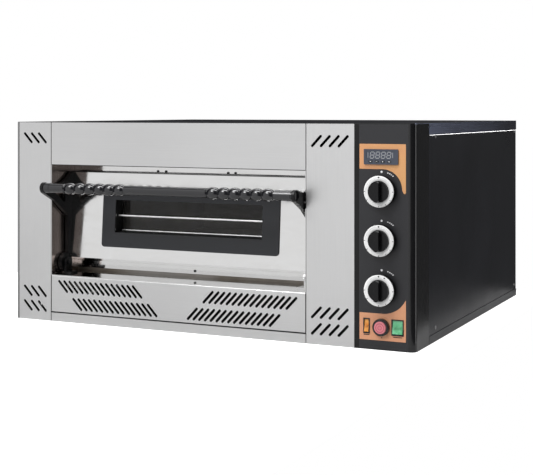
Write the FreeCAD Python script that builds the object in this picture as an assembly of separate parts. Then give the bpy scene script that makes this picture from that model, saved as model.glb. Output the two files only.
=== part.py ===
"""Single-deck gas pizza oven with a drop-down glazed door and a control column on the right.

Frame: millimetres, +Z up, the door faces -Y, +X is the user's right. The origin is on the plane
that the oven stands on, under the middle of its overall width and depth.
Widths are counted from the left outer edge, depths from the front plane, heights from the base.
"""
import FreeCAD
import Part
import math
import os

V = FreeCAD.Vector
AXIS_X = V(1, 0, 0)
AXIS_Y = V(0, 1, 0)
AXIS_Z = V(0, 0, 1)

# ---- overall size ----
WIDTH = 1000.0
DEPTH = 870.0
HEIGHT = 472.0
SHEET = 1.5          # front sheets, base and door
THIN = 1.0           # side, top, rear and inner sheets
FIT = 0.3            # air kept between bodies that move past each other
RUNNING = 0.05       # radial clearance of a shaft in its bore

# ---- front layout: widths from the left edge, heights from the base ----
TRIM_W = 6.0
OPEN_X0 = 97.5
OPEN_X1 = 755.5
COLUMN_X0 = 866.0
PLINTH_H = 20.0
SEAM = 0.8
FRONT_SEAM = 1.8     # open joints between the front panels
VENT_SEAM = 3.0      # wider joints round the removable vent panel
SILL_Z = 110.0
SOFFIT_Z = 370.0
FRONT_ZONE = 95.0    # depth of the front fascia's folds
RECESS_D = 110.0     # depth of the mouth plate behind the front plane
STEP_LIFT = 7.0      # air between the sill and the step on the mouth plate

# ---- vent slots ----
SLOT_W = 6.0
STILE_SLOT_PITCH = 20.4
STILE_SLOT_RUN = 19.5
STILE_SLOT_DROP = 20.5
STILE_SLOT_ROWS = (444.2, 78.6, 43.5)
LEFT_SLOT_X = 21.5
RIGHT_SLOT_X = 789.6
PANEL_SLOT_PITCH = 14.5
PANEL_SLOT_RUN = 22.0
PANEL_SLOT_DROP = 23.5
PANEL_SLOT_COUNT = 15
PANEL_SLOT_ROWS = ((120.5, 95.3), (160.4, 55.5))

# ---- top cover, sides and base ----
LID_SKIRT_Z = 448.0
LID_SETBACK = 1.0
TRIM_CORNER_R = 1.0
RAIL_H = 18.0
FOOT_BOLT_X = 900.0
FOOT_BOLT_Y = 700.0
FOOT_BOLT_R = 4.5

# ---- baking chamber ----
CHAMBER_W = 620.0
CHAMBER_D = 620.0
DECK_Z = 158.0
CEILING_Z = 302.0
STONE_T = 20.0
LINER_TOP_Z = 366.0
LINER_FOOT_Z = 62.0
BURNER_R = 16.0
FLOOR_BURNER_Z = 92.0
ROOF_BURNER_Z = 335.0
INSULATION_T = 50.0

# ---- flue, gas inlet and cable gland on the back ----
FLUE_R = 50.0
FLUE_WALL = 1.5
FLUE_REACH = 45.0
FLUE_Z = 300.0
INLET_R = 10.5
INLET_BORE_R = 7.5
INLET_REACH = 30.0
INLET_X = 930.0
INLET_Z = 62.0
GLAND_Z = 118.0
GLAND_BORE_R = 4.5

# ---- door, hinged at its lower edge ----
HINGE_D = 46.0
HINGE_Z = 135.0
DOOR_GAP = 2.0
DOOR_Z0 = 146.0
DOOR_Z1 = 350.0
DOOR_FOOT_D = 60.5
DOOR_HEAD_D = 76.0
DOOR_BACK_D = 104.0
GASKET_T = 5.7
GASKET_W = 12.0
WINDOW_X0 = 235.0
WINDOW_X1 = 621.0
WINDOW_Z0 = 210.0
WINDOW_Z1 = 287.0
BEZEL_X0 = 199.5
BEZEL_X1 = 663.0
BEZEL_Z0 = 175.0
BEZEL_Z1 = 312.0
BEZEL_T = 3.0
GLASS_T = 4.0
ROD_R = 2.5

# ---- handle ----
BAR_D = -40.0
BAR_Z = 318.0
BAR_R = 11.0
BAR_X0 = 104.0
BEAD_R = 14.0
BEAD_VALLEY_R = 9.6
BEAD_PITCH = 26.6
BEAD_COUNT = 6
LEFT_BEAD_X = 179.5
RIGHT_BEAD_X = 552.5
COLLAR_R = 11.8
COLLAR_W = 13.0
ARM_T = 9.0
ARM_X0 = 101.0
EYE_WALL = 2.0
HUB_R = 22.5
PIN_R = 6.0

# ---- control column ----
COLUMN_EDGE_W = 8.6
COLUMN_FACE_W = 110.7
COLUMN_CORNER_R = 14.0
COLUMN_D = 93.0
COLUMN_WALL = 2.0
FACE_MARGIN = 0.8
KNOB_X = 927.0
KNOB_ZS = (331.0, 229.0, 126.0)
KNOB_SKIRT_R = 33.0
KNOB_BODY_R = 22.0
KNOB_D = 32.0
KNOB_AIR = 4.5
STEM_R = 4.0
PUSH_TRAVEL = 3.0
DISPLAY_X0 = 888.5
DISPLAY_X1 = 964.0
DISPLAY_Z0 = 386.5
DISPLAY_Z1 = 418.5
KEY_COUNT = 4
KEY_X = 903.5
KEY_PITCH = 13.6
KEY_Z = 392.6
SWITCH_Z = 49.0
AMBER_X0 = 886.8
AMBER_X1 = 901.0
GREEN_X0 = 948.7
GREEN_X1 = 975.4
ROCKER_TILT = 9.0
BUTTON_Z = 48.0
BUTTON_RING_R = 18.0
BUTTON_CAP_R = 13.0
BUTTON_TRAVEL = 4.0

# ---- derived reference planes ----
HANDLE_REACH = -BAR_D + BEAD_R
FRONT_Y = -(DEPTH + FLUE_REACH - HANDLE_REACH) / 2
LEFT_X = -WIDTH / 2
OPEN_MID = (OPEN_X0 + OPEN_X1) / 2
FRONT_H = HEIGHT - THIN
BACK_OUT_D = DEPTH - THIN
BACK_IN_D = BACK_OUT_D - THIN
FACE_X0 = COLUMN_X0 + COLUMN_EDGE_W
FACE_X1 = FACE_X0 + COLUMN_FACE_W
CHAMBER_X0 = OPEN_MID - CHAMBER_W / 2
CHAMBER_X1 = OPEN_MID + CHAMBER_W / 2
CHAMBER_D0 = RECESS_D + SHEET
CHAMBER_D1 = CHAMBER_D0 + CHAMBER_D
DOOR_X0 = OPEN_X0 + SHEET + DOOR_GAP
DOOR_X1 = OPEN_X1 - SHEET - DOOR_GAP
DOOR_LEAN = math.degrees(math.atan2(DOOR_HEAD_D - DOOR_FOOT_D, DOOR_Z1 - DOOR_Z0))
PARTS = {}


# ---- helpers: every length is (width from the left, depth from the front, height) ----
def at(x, d, z):
    """The point at width x, depth d and height z, in the part's own frame."""
    return V(LEFT_X + x, FRONT_Y + d, z)


def box(x0, x1, d0, d1, z0, z1):
    """A block between two widths, two depths and two heights."""
    return Part.makeBox(x1 - x0, d1 - d0, z1 - z0, at(x0, d0, z0))


def rod(x, d, z, radius, length, axis):
    """A round bar that starts at a point and runs along axis."""
    return Part.makeCylinder(radius, length, at(x, d, z), axis)


def ring(x, d, z, outer, inner, length, axis):
    """A tube that starts at a point and runs along axis."""
    return rod(x, d, z, outer, length, axis).cut(rod(x, d, z, inner, length, axis))


def join(shapes):
    """One solid made of shapes that touch or overlap."""
    shapes = list(shapes)
    joined = shapes[0].multiFuse(shapes[1:]) if len(shapes) > 1 else shapes[0]
    return joined.removeSplitter()


def group(shapes):
    """Several separate solids kept in one node."""
    return Part.makeCompound(list(shapes))


def outline(points):
    """A closed flat face through 3-D points."""
    return Part.Face(Part.makePolygon(list(points) + [points[0]]))


def side_profile(pairs, x0, x1):
    """A prism across the width whose side view is a list of (depth, height) pairs."""
    face = outline([at(x0, d, z) for d, z in pairs])
    return face.extrude(V(x1 - x0, 0, 0))


def rounded_plate(x0, x1, d0, d1, z0, z1, radius):
    """A plate facing the user, with its four corners rounded."""
    plate = box(x0, x1, d0, d1, z0, z1)
    corners = [e for e in plate.Edges if abs(e.tangentAt(e.FirstParameter).y) > 0.99]
    return plate.makeFillet(radius, corners)


def round_upright_edge(block, x, d, radius):
    """Rounds the one upright edge of a block that stands at width x and depth d."""
    foot = at(x, d, 0)
    edges = [e for e in block.Edges if abs(e.tangentAt(e.FirstParameter).z) > 0.99
             and math.hypot(e.CenterOfMass.x - foot.x, e.CenterOfMass.y - foot.y) < 0.1]
    return block.makeFillet(radius, edges)


def lean(shape):
    """Tilts an upright door piece back about the foot of the door's face."""
    out = shape.copy()
    out.rotate(at(0, DOOR_FOOT_D, DOOR_Z0), AXIS_X, -DOOR_LEAN)
    return out


def slot_cutter(x, z, run, drop):
    """A round-ended slanted slot through a front sheet, from its top centre (x, z)."""
    length = math.hypot(run, drop)
    radius = SLOT_W / 2
    slope = math.degrees(math.atan2(drop, run))
    bar = Part.makeBox(length, 3 * SHEET, SLOT_W, V(0, 0, -radius))
    ends = [Part.makeCylinder(radius, 3 * SHEET, V(s, 0, 0), AXIS_Y) for s in (0, length)]
    cutter = join([bar] + ends)
    cutter.rotate(V(0, 0, 0), AXIS_Y, slope)
    cutter.translate(at(x, -SHEET, z))
    return cutter


def save(name, shape):
    """Keeps a finished node."""
    PARTS[name] = shape


# ---- casing ----
FOLD = 18.0


def folded_panel(x0, x1, z0, z1, top_fold=0.0):
    """A front sheet with all four edges folded back, and a deeper fold on top if asked for."""
    tray = box(x0, x1, 0, FOLD, z0, z1)
    hollow = box(x0 + SHEET, x1 - SHEET, SHEET, FOLD + 1, z0 + SHEET, z1 - SHEET)
    panel = tray.cut(hollow)
    if top_fold:
        panel = join([panel, box(x0, x1, FOLD, top_fold, z1 - SHEET, z1)])
    return panel


def stile_slots(first_x, count, run):
    """Three rows of slanted vent slots down a stile."""
    return [slot_cutter(first_x + i * STILE_SLOT_PITCH, z, run, STILE_SLOT_DROP)
            for z in STILE_SLOT_ROWS for i in range(count)]


def front_stile_left():
    panel = folded_panel(TRIM_W, OPEN_X0 - FRONT_SEAM / 2, 0, FRONT_H, FRONT_ZONE)
    return panel.cut(stile_slots(LEFT_SLOT_X, 3, STILE_SLOT_RUN))


def front_stile_right():
    panel = folded_panel(OPEN_X1 + FRONT_SEAM / 2, COLUMN_X0, 0, FRONT_H, FRONT_ZONE)
    return panel.cut(stile_slots(RIGHT_SLOT_X, 4, -STILE_SLOT_RUN))


def lintel_panel():
    return folded_panel(OPEN_X0 + FRONT_SEAM / 2, OPEN_X1 - FRONT_SEAM / 2, SOFFIT_Z + SHEET, FRONT_H,
                        FRONT_ZONE)


def lower_vent_panel():
    top = SILL_Z - SHEET
    panel = folded_panel(OPEN_X0 + VENT_SEAM / 2, OPEN_X1 - VENT_SEAM / 2, PLINTH_H + VENT_SEAM, top)
    slots = []
    for first_x, z in PANEL_SLOT_ROWS:
        for i in range(PANEL_SLOT_COUNT):
            x = first_x + i * PANEL_SLOT_PITCH
            slots.append(slot_cutter(x, z, PANEL_SLOT_RUN, PANEL_SLOT_DROP))
            slots.append(slot_cutter(2 * OPEN_MID - x, z, -PANEL_SLOT_RUN, PANEL_SLOT_DROP))
    return panel.cut(slots)


def base_pan():
    """The tray that the oven stands on, with the plinth strip under the vent panel."""
    tray = box(0, WIDTH, FRONT_ZONE, DEPTH, 0, RAIL_H)
    tray = tray.cut(box(SHEET, WIDTH - SHEET, FRONT_ZONE - 1, DEPTH - SHEET, SHEET, RAIL_H + 1))
    apron = box(TRIM_W, COLUMN_X0, FOLD, FRONT_ZONE, 0, SHEET)
    tongue = box(OPEN_X0 + FRONT_SEAM / 2, OPEN_X1 - FRONT_SEAM / 2, 0, FOLD, 0, SHEET)
    plinth = box(OPEN_X0 + FRONT_SEAM / 2, OPEN_X1 - FRONT_SEAM / 2, 0, SHEET, 0, PLINTH_H)
    holes = [rod(WIDTH / 2 + sx * FOOT_BOLT_X / 2, (FRONT_ZONE + DEPTH) / 2 + sy * FOOT_BOLT_Y / 2, -1,
                 FOOT_BOLT_R, 4, AXIS_Z) for sx in (-1, 1) for sy in (-1, 1)]
    return join([tray, apron, tongue, plinth]).cut(holes)


def corner_trim_left():
    """The black corner profile: a narrow front edge and a side return."""
    block = round_upright_edge(box(0, TRIM_W, 0, COLUMN_D, 0, FRONT_H), 0, 0, TRIM_CORNER_R)
    return block.cut(box(SHEET, TRIM_W + 1, SHEET, COLUMN_D + 1, -1, HEIGHT + 1))


def side_panel(x0):
    """A plain side sheet between the base rail and the top cover."""
    return box(x0, x0 + THIN, FRONT_ZONE, BACK_IN_D, RAIL_H + SEAM, FRONT_H)


def back_panel():
    """The rear sheet, with holes for the flue, the gas inlet and the cable gland, and air slots."""
    d0 = BACK_IN_D
    sheet = box(THIN, WIDTH - THIN, d0, BACK_OUT_D, RAIL_H + SEAM, FRONT_H)
    holes = [rod(OPEN_MID, d0 - 5, FLUE_Z, FLUE_R - 1, 20, AXIS_Y),
             rod(INLET_X, d0 - 5, INLET_Z, INLET_R, 20, AXIS_Y),
             rod(INLET_X, d0 - 5, GLAND_Z, GLAND_NECK_R, 20, AXIS_Y)]
    for column in (830.0, 880.0):
        for row in range(6):
            holes.append(box(column, column + 36, d0 - 5, d0 + 15, 200 + 22 * row, 204 + 22 * row))
    return sheet.cut(holes)


def top_cover():
    """The lid: a flat sheet over the whole top, with a skirt down both sides and the back."""
    block = box(0, WIDTH, FRONT_ZONE + SEAM, DEPTH, LID_SKIRT_Z, HEIGHT)
    hollow = box(THIN, WIDTH - THIN, FRONT_ZONE, DEPTH - THIN, LID_SKIRT_Z - 1, FRONT_H)
    fore = box(0, WIDTH, LID_SETBACK, FRONT_ZONE + SEAM, FRONT_H, HEIGHT)
    fore = round_upright_edge(fore, WIDTH, LID_SETBACK, COLUMN_CORNER_R)
    fore = round_upright_edge(fore, 0, LID_SETBACK, TRIM_CORNER_R)
    return join([block.cut(hollow), fore])


def recess_surround():
    """The folded lining of the door recess: sill, soffit and two reveals."""
    outer = box(OPEN_X0, OPEN_X1, 0, RECESS_D, SILL_Z - SHEET, SOFFIT_Z + SHEET)
    hollow = box(OPEN_X0 + SHEET, OPEN_X1 - SHEET, -1, RECESS_D + 1, SILL_Z, SOFFIT_Z)
    return outer.cut(hollow)


def mouth_plate():
    """The plate behind the door, with the chamber's mouth cut in it and a stiffening step below."""
    plate = box(OPEN_X0, OPEN_X1, RECESS_D, RECESS_D + SHEET, SILL_Z - SHEET, SOFFIT_Z + SHEET)
    mouth = box(CHAMBER_X0, CHAMBER_X1, RECESS_D - 1, RECESS_D + 3, DECK_Z, CEILING_Z)
    foot = SILL_Z + STEP_LIFT
    step = box(OPEN_X0 + SHEET, OPEN_X1 - SHEET, RECESS_D - 4, RECESS_D, foot, SILL_Z + 24)
    return join([plate.cut(mouth), step])


# ---- baking chamber, burners and lagging ----
LINER_X0 = CHAMBER_X0 - THIN
LINER_X1 = CHAMBER_X1 + THIN
LINER_D1 = CHAMBER_D1 + THIN
BAY_WALL_X = COLUMN_X0 - 4.0
HEADER_R = 8.0
HEADER_D = 150.0
FEED_X = 893.0
TAP_D = 50.0
TAP_HALF = 15.0
PROBE_R = 3.0
PROBE_D = 400.0
PROBE_Z = 285.0
CLEAR_HOLE = 0.5
GLAND_NECK_R = 8.0


def pipe(points, radius):
    """A round pipe through (width, depth, height) points, with a ball at each bend."""
    nodes = [at(*p) for p in points]
    pieces = []
    for start, end in zip(nodes, nodes[1:]):
        pieces.append(Part.makeCylinder(radius, (end - start).Length, start, end - start))
    pieces += [Part.makeSphere(radius, node) for node in nodes[1:-1]]
    return join(pieces)


def service_holes():
    """Clearance holes through the liner, the lagging and the bay wall for pipes and the probe."""
    reach = 200.0
    start = CHAMBER_X1 - 20
    header = HEADER_R + CLEAR_HOLE
    return [rod(start, HEADER_D, FLOOR_BURNER_Z, header, reach, AXIS_X),
            rod(start, HEADER_D, ROOF_BURNER_Z, header, reach, AXIS_X),
            rod(start, PROBE_D, PROBE_Z, PROBE_R + CLEAR_HOLE, reach, AXIS_X)]


def flue_hole():
    """The round way for the flue duct through the liner and the lagging."""
    return rod(OPEN_MID, CHAMBER_D1 - 20, FLUE_Z, FLUE_R - 1, 200, AXIS_Y)


def chamber_liner():
    """The steel box round the chamber, open at the front and below."""
    outer = box(LINER_X0, LINER_X1, CHAMBER_D0, LINER_D1, LINER_FOOT_Z, LINER_TOP_Z)
    hollow = box(CHAMBER_X0, CHAMBER_X1, CHAMBER_D0 - 1, CHAMBER_D1, LINER_FOOT_Z - 1,
                 LINER_TOP_Z - THIN)
    return outer.cut(hollow).cut(service_holes() + [flue_hole()])


def stone_frame():
    """The ledge frame that carries the two deck stones."""
    top = DECK_Z - STONE_T
    frame = box(CHAMBER_X0, CHAMBER_X1, CHAMBER_D0, CHAMBER_D1, top - 8, top)
    bays = [box(x0, x0 + CHAMBER_W / 2 - 40, CHAMBER_D0 + 25, CHAMBER_D1 - 25, top - 9, top + 1)
            for x0 in (CHAMBER_X0 + 25, OPEN_MID + 15)]
    return frame.cut(bays)


def deck_stone(x0):
    """One fireclay slab, half of the baking deck."""
    slab = box(x0, x0 + CHAMBER_W / 2 - 1, CHAMBER_D0 + 1, CHAMBER_D1 - 1, DECK_Z - STONE_T, DECK_Z)
    edges = [e for e in slab.Edges if abs(e.CenterOfMass.z - DECK_Z) < 0.01]
    return slab.makeChamfer(1.5, edges)


def ceiling_plate():
    """The radiant ceiling sheet, with four rows of hot-gas slots."""
    sheet = box(CHAMBER_X0, CHAMBER_X1, CHAMBER_D0, CHAMBER_D1, CEILING_Z, CEILING_Z + THIN)
    slots = [box(CHAMBER_X0 + 40 + 140 * i, CHAMBER_X0 + 120 + 140 * i, d, d + 8,
                 CEILING_Z - 1, CEILING_Z + 3)
             for i in range(4) for d in (220.0, 340.0, 460.0, 580.0)]
    return sheet.cut(slots)


def burner(z, feed):
    """Two closed burner tubes with flame ports, fed by one pipe that leads out to its tap."""
    tubes = []
    for x in (OPEN_MID - CHAMBER_W / 4, OPEN_MID + CHAMBER_W / 4):
        tubes.append(rod(x, CHAMBER_D0 + 25, z, BURNER_R, CHAMBER_D - 50, AXIS_Y))
    header = pipe([(OPEN_MID - CHAMBER_W / 4, HEADER_D, z)] + feed, HEADER_R)
    body = join(tubes + [header])
    bores = []
    for x in (OPEN_MID - CHAMBER_W / 4, OPEN_MID + CHAMBER_W / 4):
        bores.append(rod(x, CHAMBER_D0 + 27, z, BURNER_R - SHEET, CHAMBER_D - 54, AXIS_Y))
        for i in range(14):
            bores.append(rod(x, HEADER_D + 30 + 38 * i, z, 2.0, BURNER_R + 2, AXIS_Z))
    return body.cut(bores)


def floor_burner():
    tap_z = KNOB_ZS[1]
    return burner(FLOOR_BURNER_Z, [(FEED_X, HEADER_D, FLOOR_BURNER_Z), (FEED_X, HEADER_D, tap_z),
                                   (FEED_X, TAP_D, tap_z), (KNOB_X - TAP_HALF, TAP_D, tap_z)])


def roof_burner():
    return burner(ROOF_BURNER_Z, [(FEED_X, HEADER_D, ROOF_BURNER_Z), (FEED_X, TAP_D, ROOF_BURNER_Z),
                                  (KNOB_X - TAP_HALF, TAP_D, ROOF_BURNER_Z)])


def insulation_top_back():
    """The fibre blanket over the chamber and down its back."""
    top = box(LINER_X0, LINER_X1, CHAMBER_D0, LINER_D1 + INSULATION_T, LINER_TOP_Z,
              LINER_TOP_Z + INSULATION_T)
    back = box(LINER_X0, LINER_X1, LINER_D1, LINER_D1 + INSULATION_T, LINER_FOOT_Z, LINER_TOP_Z)
    return join([top, back]).cut(flue_hole())


def insulation_sides():
    """Fibre slabs left and right of the chamber."""
    slabs = [box(x0, x0 + INSULATION_T, CHAMBER_D0, LINER_D1 + INSULATION_T, LINER_FOOT_Z,
                 LINER_TOP_Z + INSULATION_T) for x0 in (LINER_X0 - INSULATION_T, LINER_X1)]
    return group([slabs[0], slabs[1].cut(service_holes())])


def bay_wall():
    """The heat shield between the lagging and the control bay."""
    wall = box(BAY_WALL_X, BAY_WALL_X + THIN, FRONT_ZONE + 5, BACK_IN_D, 2 * SHEET, HEIGHT - 2 * SHEET)
    return wall.cut(service_holes())


def flue_spigot():
    """The round flue duct from the chamber's back wall, with its rear flange and spigot."""
    start = CHAMBER_D1
    inner = FLUE_R - 1 - FLUE_WALL
    duct = ring(OPEN_MID, start, FLUE_Z, FLUE_R - 1, inner, DEPTH - start, AXIS_Y)
    flange = ring(OPEN_MID, BACK_OUT_D, FLUE_Z, FLUE_R + 12, inner, THIN, AXIS_Y)
    spigot = ring(OPEN_MID, DEPTH, FLUE_Z, FLUE_R, inner, FLUE_REACH, AXIS_Y)
    return join([duct, flange, spigot])


def thermocouple():
    """A sheathed probe from the control bay into the chamber."""
    tip_x = CHAMBER_X1 - 45
    head_x = BAY_WALL_X + THIN + 2
    probe = rod(tip_x, PROBE_D, PROBE_Z, PROBE_R, head_x - tip_x, AXIS_X)
    head = rod(head_x, PROBE_D, PROBE_Z, 8.0, 22, AXIS_X)
    return join([probe, head])


# ---- control column ----
KNOB_SKIRT_D = 13.5
KNOB_BASE_D = 6.0
FIN_W = 11.0
TAP_FRONT_D = 35.0
TAP_BACK_D = 70.0
NECK_R = 8.0
STEM_TIP_D = -22.0
STEM_END_D = 52.0
ROCKER_LIP = 1.5
ROCKER_WALL = 2.2
ROCKER_DEPTH = 22.0
ROCKER_PIVOT_D = 3.0
BUTTON_FRONT_D = -12.0
BUTTON_STEM_R = 5.0
KEY_HALF_W = 4.2
KEY_HALF_H = 1.9
RISER_R = 8.0
RISER_D = 80.0
SWITCHES = ((AMBER_X0, AMBER_X1, 32.0), (GREEN_X0, GREEN_X1, 33.8))


def control_housing():
    """The black column casing: narrow left profile, rounded right corner, closed ends, open back."""
    block = round_upright_edge(box(COLUMN_X0, WIDTH, 0, COLUMN_D, 0, FRONT_H), WIDTH, 0, COLUMN_CORNER_R)
    inner_x1 = WIDTH - COLUMN_WALL
    inner = box(COLUMN_X0 + COLUMN_WALL, inner_x1, COLUMN_WALL, COLUMN_D + 1, COLUMN_WALL,
                FRONT_H - COLUMN_WALL)
    inner = round_upright_edge(inner, inner_x1, COLUMN_WALL, COLUMN_CORNER_R - COLUMN_WALL)
    window = box(FACE_X0, FACE_X1, -1, COLUMN_WALL + 1, FACE_MARGIN, FRONT_H - FACE_MARGIN)
    return block.cut([inner, window])


def control_face():
    """The flat charcoal plate that carries the display, the knobs and the switches."""
    plate = box(FACE_X0, FACE_X1, 0, COLUMN_WALL, FACE_MARGIN, FRONT_H - FACE_MARGIN)
    holes = [rod(KNOB_X, -1, z, NECK_R, 5, AXIS_Y) for z in KNOB_ZS]
    holes.append(box(DISPLAY_X0 + 2.5, DISPLAY_X1 - 2.5, -1, 5, DISPLAY_Z0 + 2.5, DISPLAY_Z1 - 2.5))
    holes.append(rod(KNOB_X, -1, BUTTON_Z, BUTTON_CAP_R + 1.2, 5, AXIS_Y))
    for x0, x1, height in SWITCHES:
        holes.append(box(x0 + 1, x1 - 1, -1, 5, SWITCH_Z - height / 2 + 1, SWITCH_Z + height / 2 - 1))
    return plate.cut(holes)


def display_module():
    """The thermostat display: a raised bezel, pockets for four keys and the body behind the plate."""
    bezel = rounded_plate(DISPLAY_X0, DISPLAY_X1, -3, 0, DISPLAY_Z0, DISPLAY_Z1, 1.5)
    body = box(DISPLAY_X0 + 2.5, DISPLAY_X1 - 2.5, 0, 60, DISPLAY_Z0 + 2.5, DISPLAY_Z1 - 2.5)
    window = box(DISPLAY_X0 + 5, DISPLAY_X1 - 5, -4, -2.2, KEY_Z + 4, DISPLAY_Z1 - 3.5)
    pockets = [box(x - KEY_HALF_W - FIT, x + KEY_HALF_W + FIT, -4, 0.8,
                   KEY_Z - KEY_HALF_H - FIT, KEY_Z + KEY_HALF_H + FIT) for x in key_places()]
    return join([bezel, body]).cut([window] + pockets)


def key_places():
    return [KEY_X + i * KEY_PITCH for i in range(KEY_COUNT)]


def display_key(x):
    """One small key that travels into its pocket."""
    return rounded_plate(x - KEY_HALF_W, x + KEY_HALF_W, -3.8, -0.4,
                         KEY_Z - KEY_HALF_H, KEY_Z + KEY_HALF_H, 1.2)


def knob(z):
    """A skirted knob with a raised finger fin and a blind bore for its spindle."""
    back = -KNOB_AIR
    skirt = rod(KNOB_X, back - KNOB_SKIRT_D, z, KNOB_SKIRT_R, KNOB_SKIRT_D, AXIS_Y)
    rim = [e for e in skirt.Edges if abs(e.CenterOfMass.y - FRONT_Y - back + KNOB_SKIRT_D) < 0.01
           and e.Length > 10 and len(e.Vertexes) == 1]
    skirt = skirt.makeFillet(2.0, rim)
    skirt = skirt.cut(ring(KNOB_X, back - KNOB_SKIRT_D + 3, z, KNOB_SKIRT_R - 2.5, 9.0,
                           KNOB_SKIRT_D, AXIS_Y))
    base_d = back - KNOB_SKIRT_D - KNOB_BASE_D
    base = rod(KNOB_X, base_d, z, KNOB_BODY_R, KNOB_BASE_D, AXIS_Y)
    fin = rounded_plate(KNOB_X - FIN_W / 2, KNOB_X + FIN_W / 2, back - KNOB_D, base_d,
                        z - KNOB_BODY_R + 0.8, z + KNOB_BODY_R - 0.8, 4.5)
    bore = rod(KNOB_X, STEM_TIP_D - 1, z, STEM_R + RUNNING, -STEM_TIP_D, AXIS_Y)
    return join([skirt, base, fin]).cut(bore)


def tap_stem(z):
    """The sprung spindle of a gas tap."""
    return rod(KNOB_X, STEM_TIP_D, z, STEM_R, STEM_END_D - STEM_TIP_D, AXIS_Y)


def tap_body(z, bored):
    """A brass tap block with the threaded neck that clamps it to the control plate."""
    block = box(KNOB_X - TAP_HALF, KNOB_X + TAP_HALF, TAP_FRONT_D, TAP_BACK_D, z - TAP_HALF, z + TAP_HALF)
    neck = rod(KNOB_X, 0, z, NECK_R, TAP_FRONT_D, AXIS_Y)
    nut = rod(KNOB_X, COLUMN_WALL, z, 13.0, 6.0, AXIS_Y)
    body = join([block, neck, nut])
    if not bored:
        return body
    return body.cut(rod(KNOB_X, -1, z, STEM_R + RUNNING, STEM_END_D + PUSH_TRAVEL + 3, AXIS_Y))


def thermostat():
    """The temperature control body, with the fixed spindle that its knob turns on."""
    body = tap_body(KNOB_ZS[2], False)
    return join([body, rod(KNOB_X, STEM_TIP_D, KNOB_ZS[2], STEM_R, 10 - STEM_TIP_D, AXIS_Y)])


def gas_manifold():
    """The supply pipe from the rear inlet to the back of both taps."""
    return pipe([(INLET_X, BACK_IN_D - THIN, INLET_Z), (INLET_X, RISER_D, INLET_Z),
                 (INLET_X, RISER_D, KNOB_ZS[0] + 10)], RISER_R).cut(
        [box(KNOB_X - 20, KNOB_X + 20, 0, TAP_BACK_D, z - 20, z + 20) for z in KNOB_ZS])


def rocker_frame(x0, x1, height):
    """A snap-in switch body with a thin lip round its window."""
    z0 = SWITCH_Z - height / 2
    z1 = SWITCH_Z + height / 2
    lip = box(x0, x1, -ROCKER_LIP, 0, z0, z1)
    body = box(x0 + 1, x1 - 1, 0, ROCKER_DEPTH, z0 + 1, z1 - 1)
    well = box(x0 + ROCKER_WALL, x1 - ROCKER_WALL, -5, ROCKER_DEPTH - 2, z0 + ROCKER_WALL,
               z1 - ROCKER_WALL)
    return join([lip, body]).cut(well)


def rocker(x0, x1, height):
    """A hollow-faced rocker cap, stored with its upper half pressed in."""
    radius = height / 2 - ROCKER_WALL - FIT
    left = x0 + ROCKER_WALL + FIT
    right = x1 - ROCKER_WALL - FIT
    front = ROCKER_PIVOT_D - 4.5
    disc = rod(left, ROCKER_PIVOT_D, SWITCH_Z, radius, right - left, AXIS_X)
    keep = box(left, right, front, ROCKER_PIVOT_D + 8, SWITCH_Z - radius, SWITCH_Z + radius)
    dish = side_profile([(front - 1, SWITCH_Z - radius + 1), (front, SWITCH_Z - radius + 1),
                         (front + 1.3, SWITCH_Z), (front, SWITCH_Z + radius - 1),
                         (front - 1, SWITCH_Z + radius - 1)], left - 1, right + 1)
    cap = disc.common(keep).cut(dish)
    cap.rotate(at(0, ROCKER_PIVOT_D, SWITCH_Z), AXIS_X, -ROCKER_TILT)
    return cap


def push_button_ring():
    """The black shroud of the push button and the barrel that guides its stem."""
    shroud = rod(KNOB_X, -9, BUTTON_Z, BUTTON_RING_R, 9, AXIS_Y)
    rim = [e for e in shroud.Edges if abs(e.CenterOfMass.y - FRONT_Y + 9) < 0.01]
    shroud = shroud.makeChamfer(1.5, rim)
    barrel = rod(KNOB_X, 0, BUTTON_Z, BUTTON_CAP_R + 1.2, 30, AXIS_Y)
    well = rod(KNOB_X, -10, BUTTON_Z, BUTTON_CAP_R + FIT, 10 + 2 + BUTTON_TRAVEL + 1, AXIS_Y)
    guide = rod(KNOB_X, 0, BUTTON_Z, BUTTON_STEM_R + RUNNING, 40, AXIS_Y)
    return join([shroud, barrel]).cut([well, guide])


def push_button():
    """The domed button cap on its stem."""
    cap = rod(KNOB_X, BUTTON_FRONT_D, BUTTON_Z, BUTTON_CAP_R, 2 - BUTTON_FRONT_D, AXIS_Y)
    rim = [e for e in cap.Edges if abs(e.CenterOfMass.y - FRONT_Y - BUTTON_FRONT_D) < 0.01]
    cap = cap.makeFillet(1.8, rim)
    return join([cap, rod(KNOB_X, 2, BUTTON_Z, BUTTON_STEM_R, 24, AXIS_Y)])


def gas_inlet():
    """The threaded inlet stub that leaves through the rear sheet."""
    start = BACK_IN_D - THIN
    stub = ring(INLET_X, start, INLET_Z, INLET_R, INLET_BORE_R, DEPTH + INLET_REACH - start, AXIS_Y)
    collar = ring(INLET_X, BACK_OUT_D, INLET_Z, 17.0, INLET_R, DEPTH + 6 - BACK_OUT_D, AXIS_Y)
    return join([stub, collar])


def cable_gland():
    """The gland that the supply cable would enter through."""
    start = DEPTH - 12
    neck = rod(INLET_X, start, GLAND_Z, GLAND_NECK_R, BACK_OUT_D - start, AXIS_Y)
    flange = rod(INLET_X, BACK_OUT_D, GLAND_Z, 13.0, 6.0, AXIS_Y)
    dome = Part.makeCone(11.0, 7.5, 12.0, at(INLET_X, BACK_OUT_D + 6, GLAND_Z), AXIS_Y)
    bore = rod(INLET_X, start - 1, GLAND_Z, GLAND_BORE_R, 60, AXIS_Y)
    return join([neck, flange, dome]).cut(bore)


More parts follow.
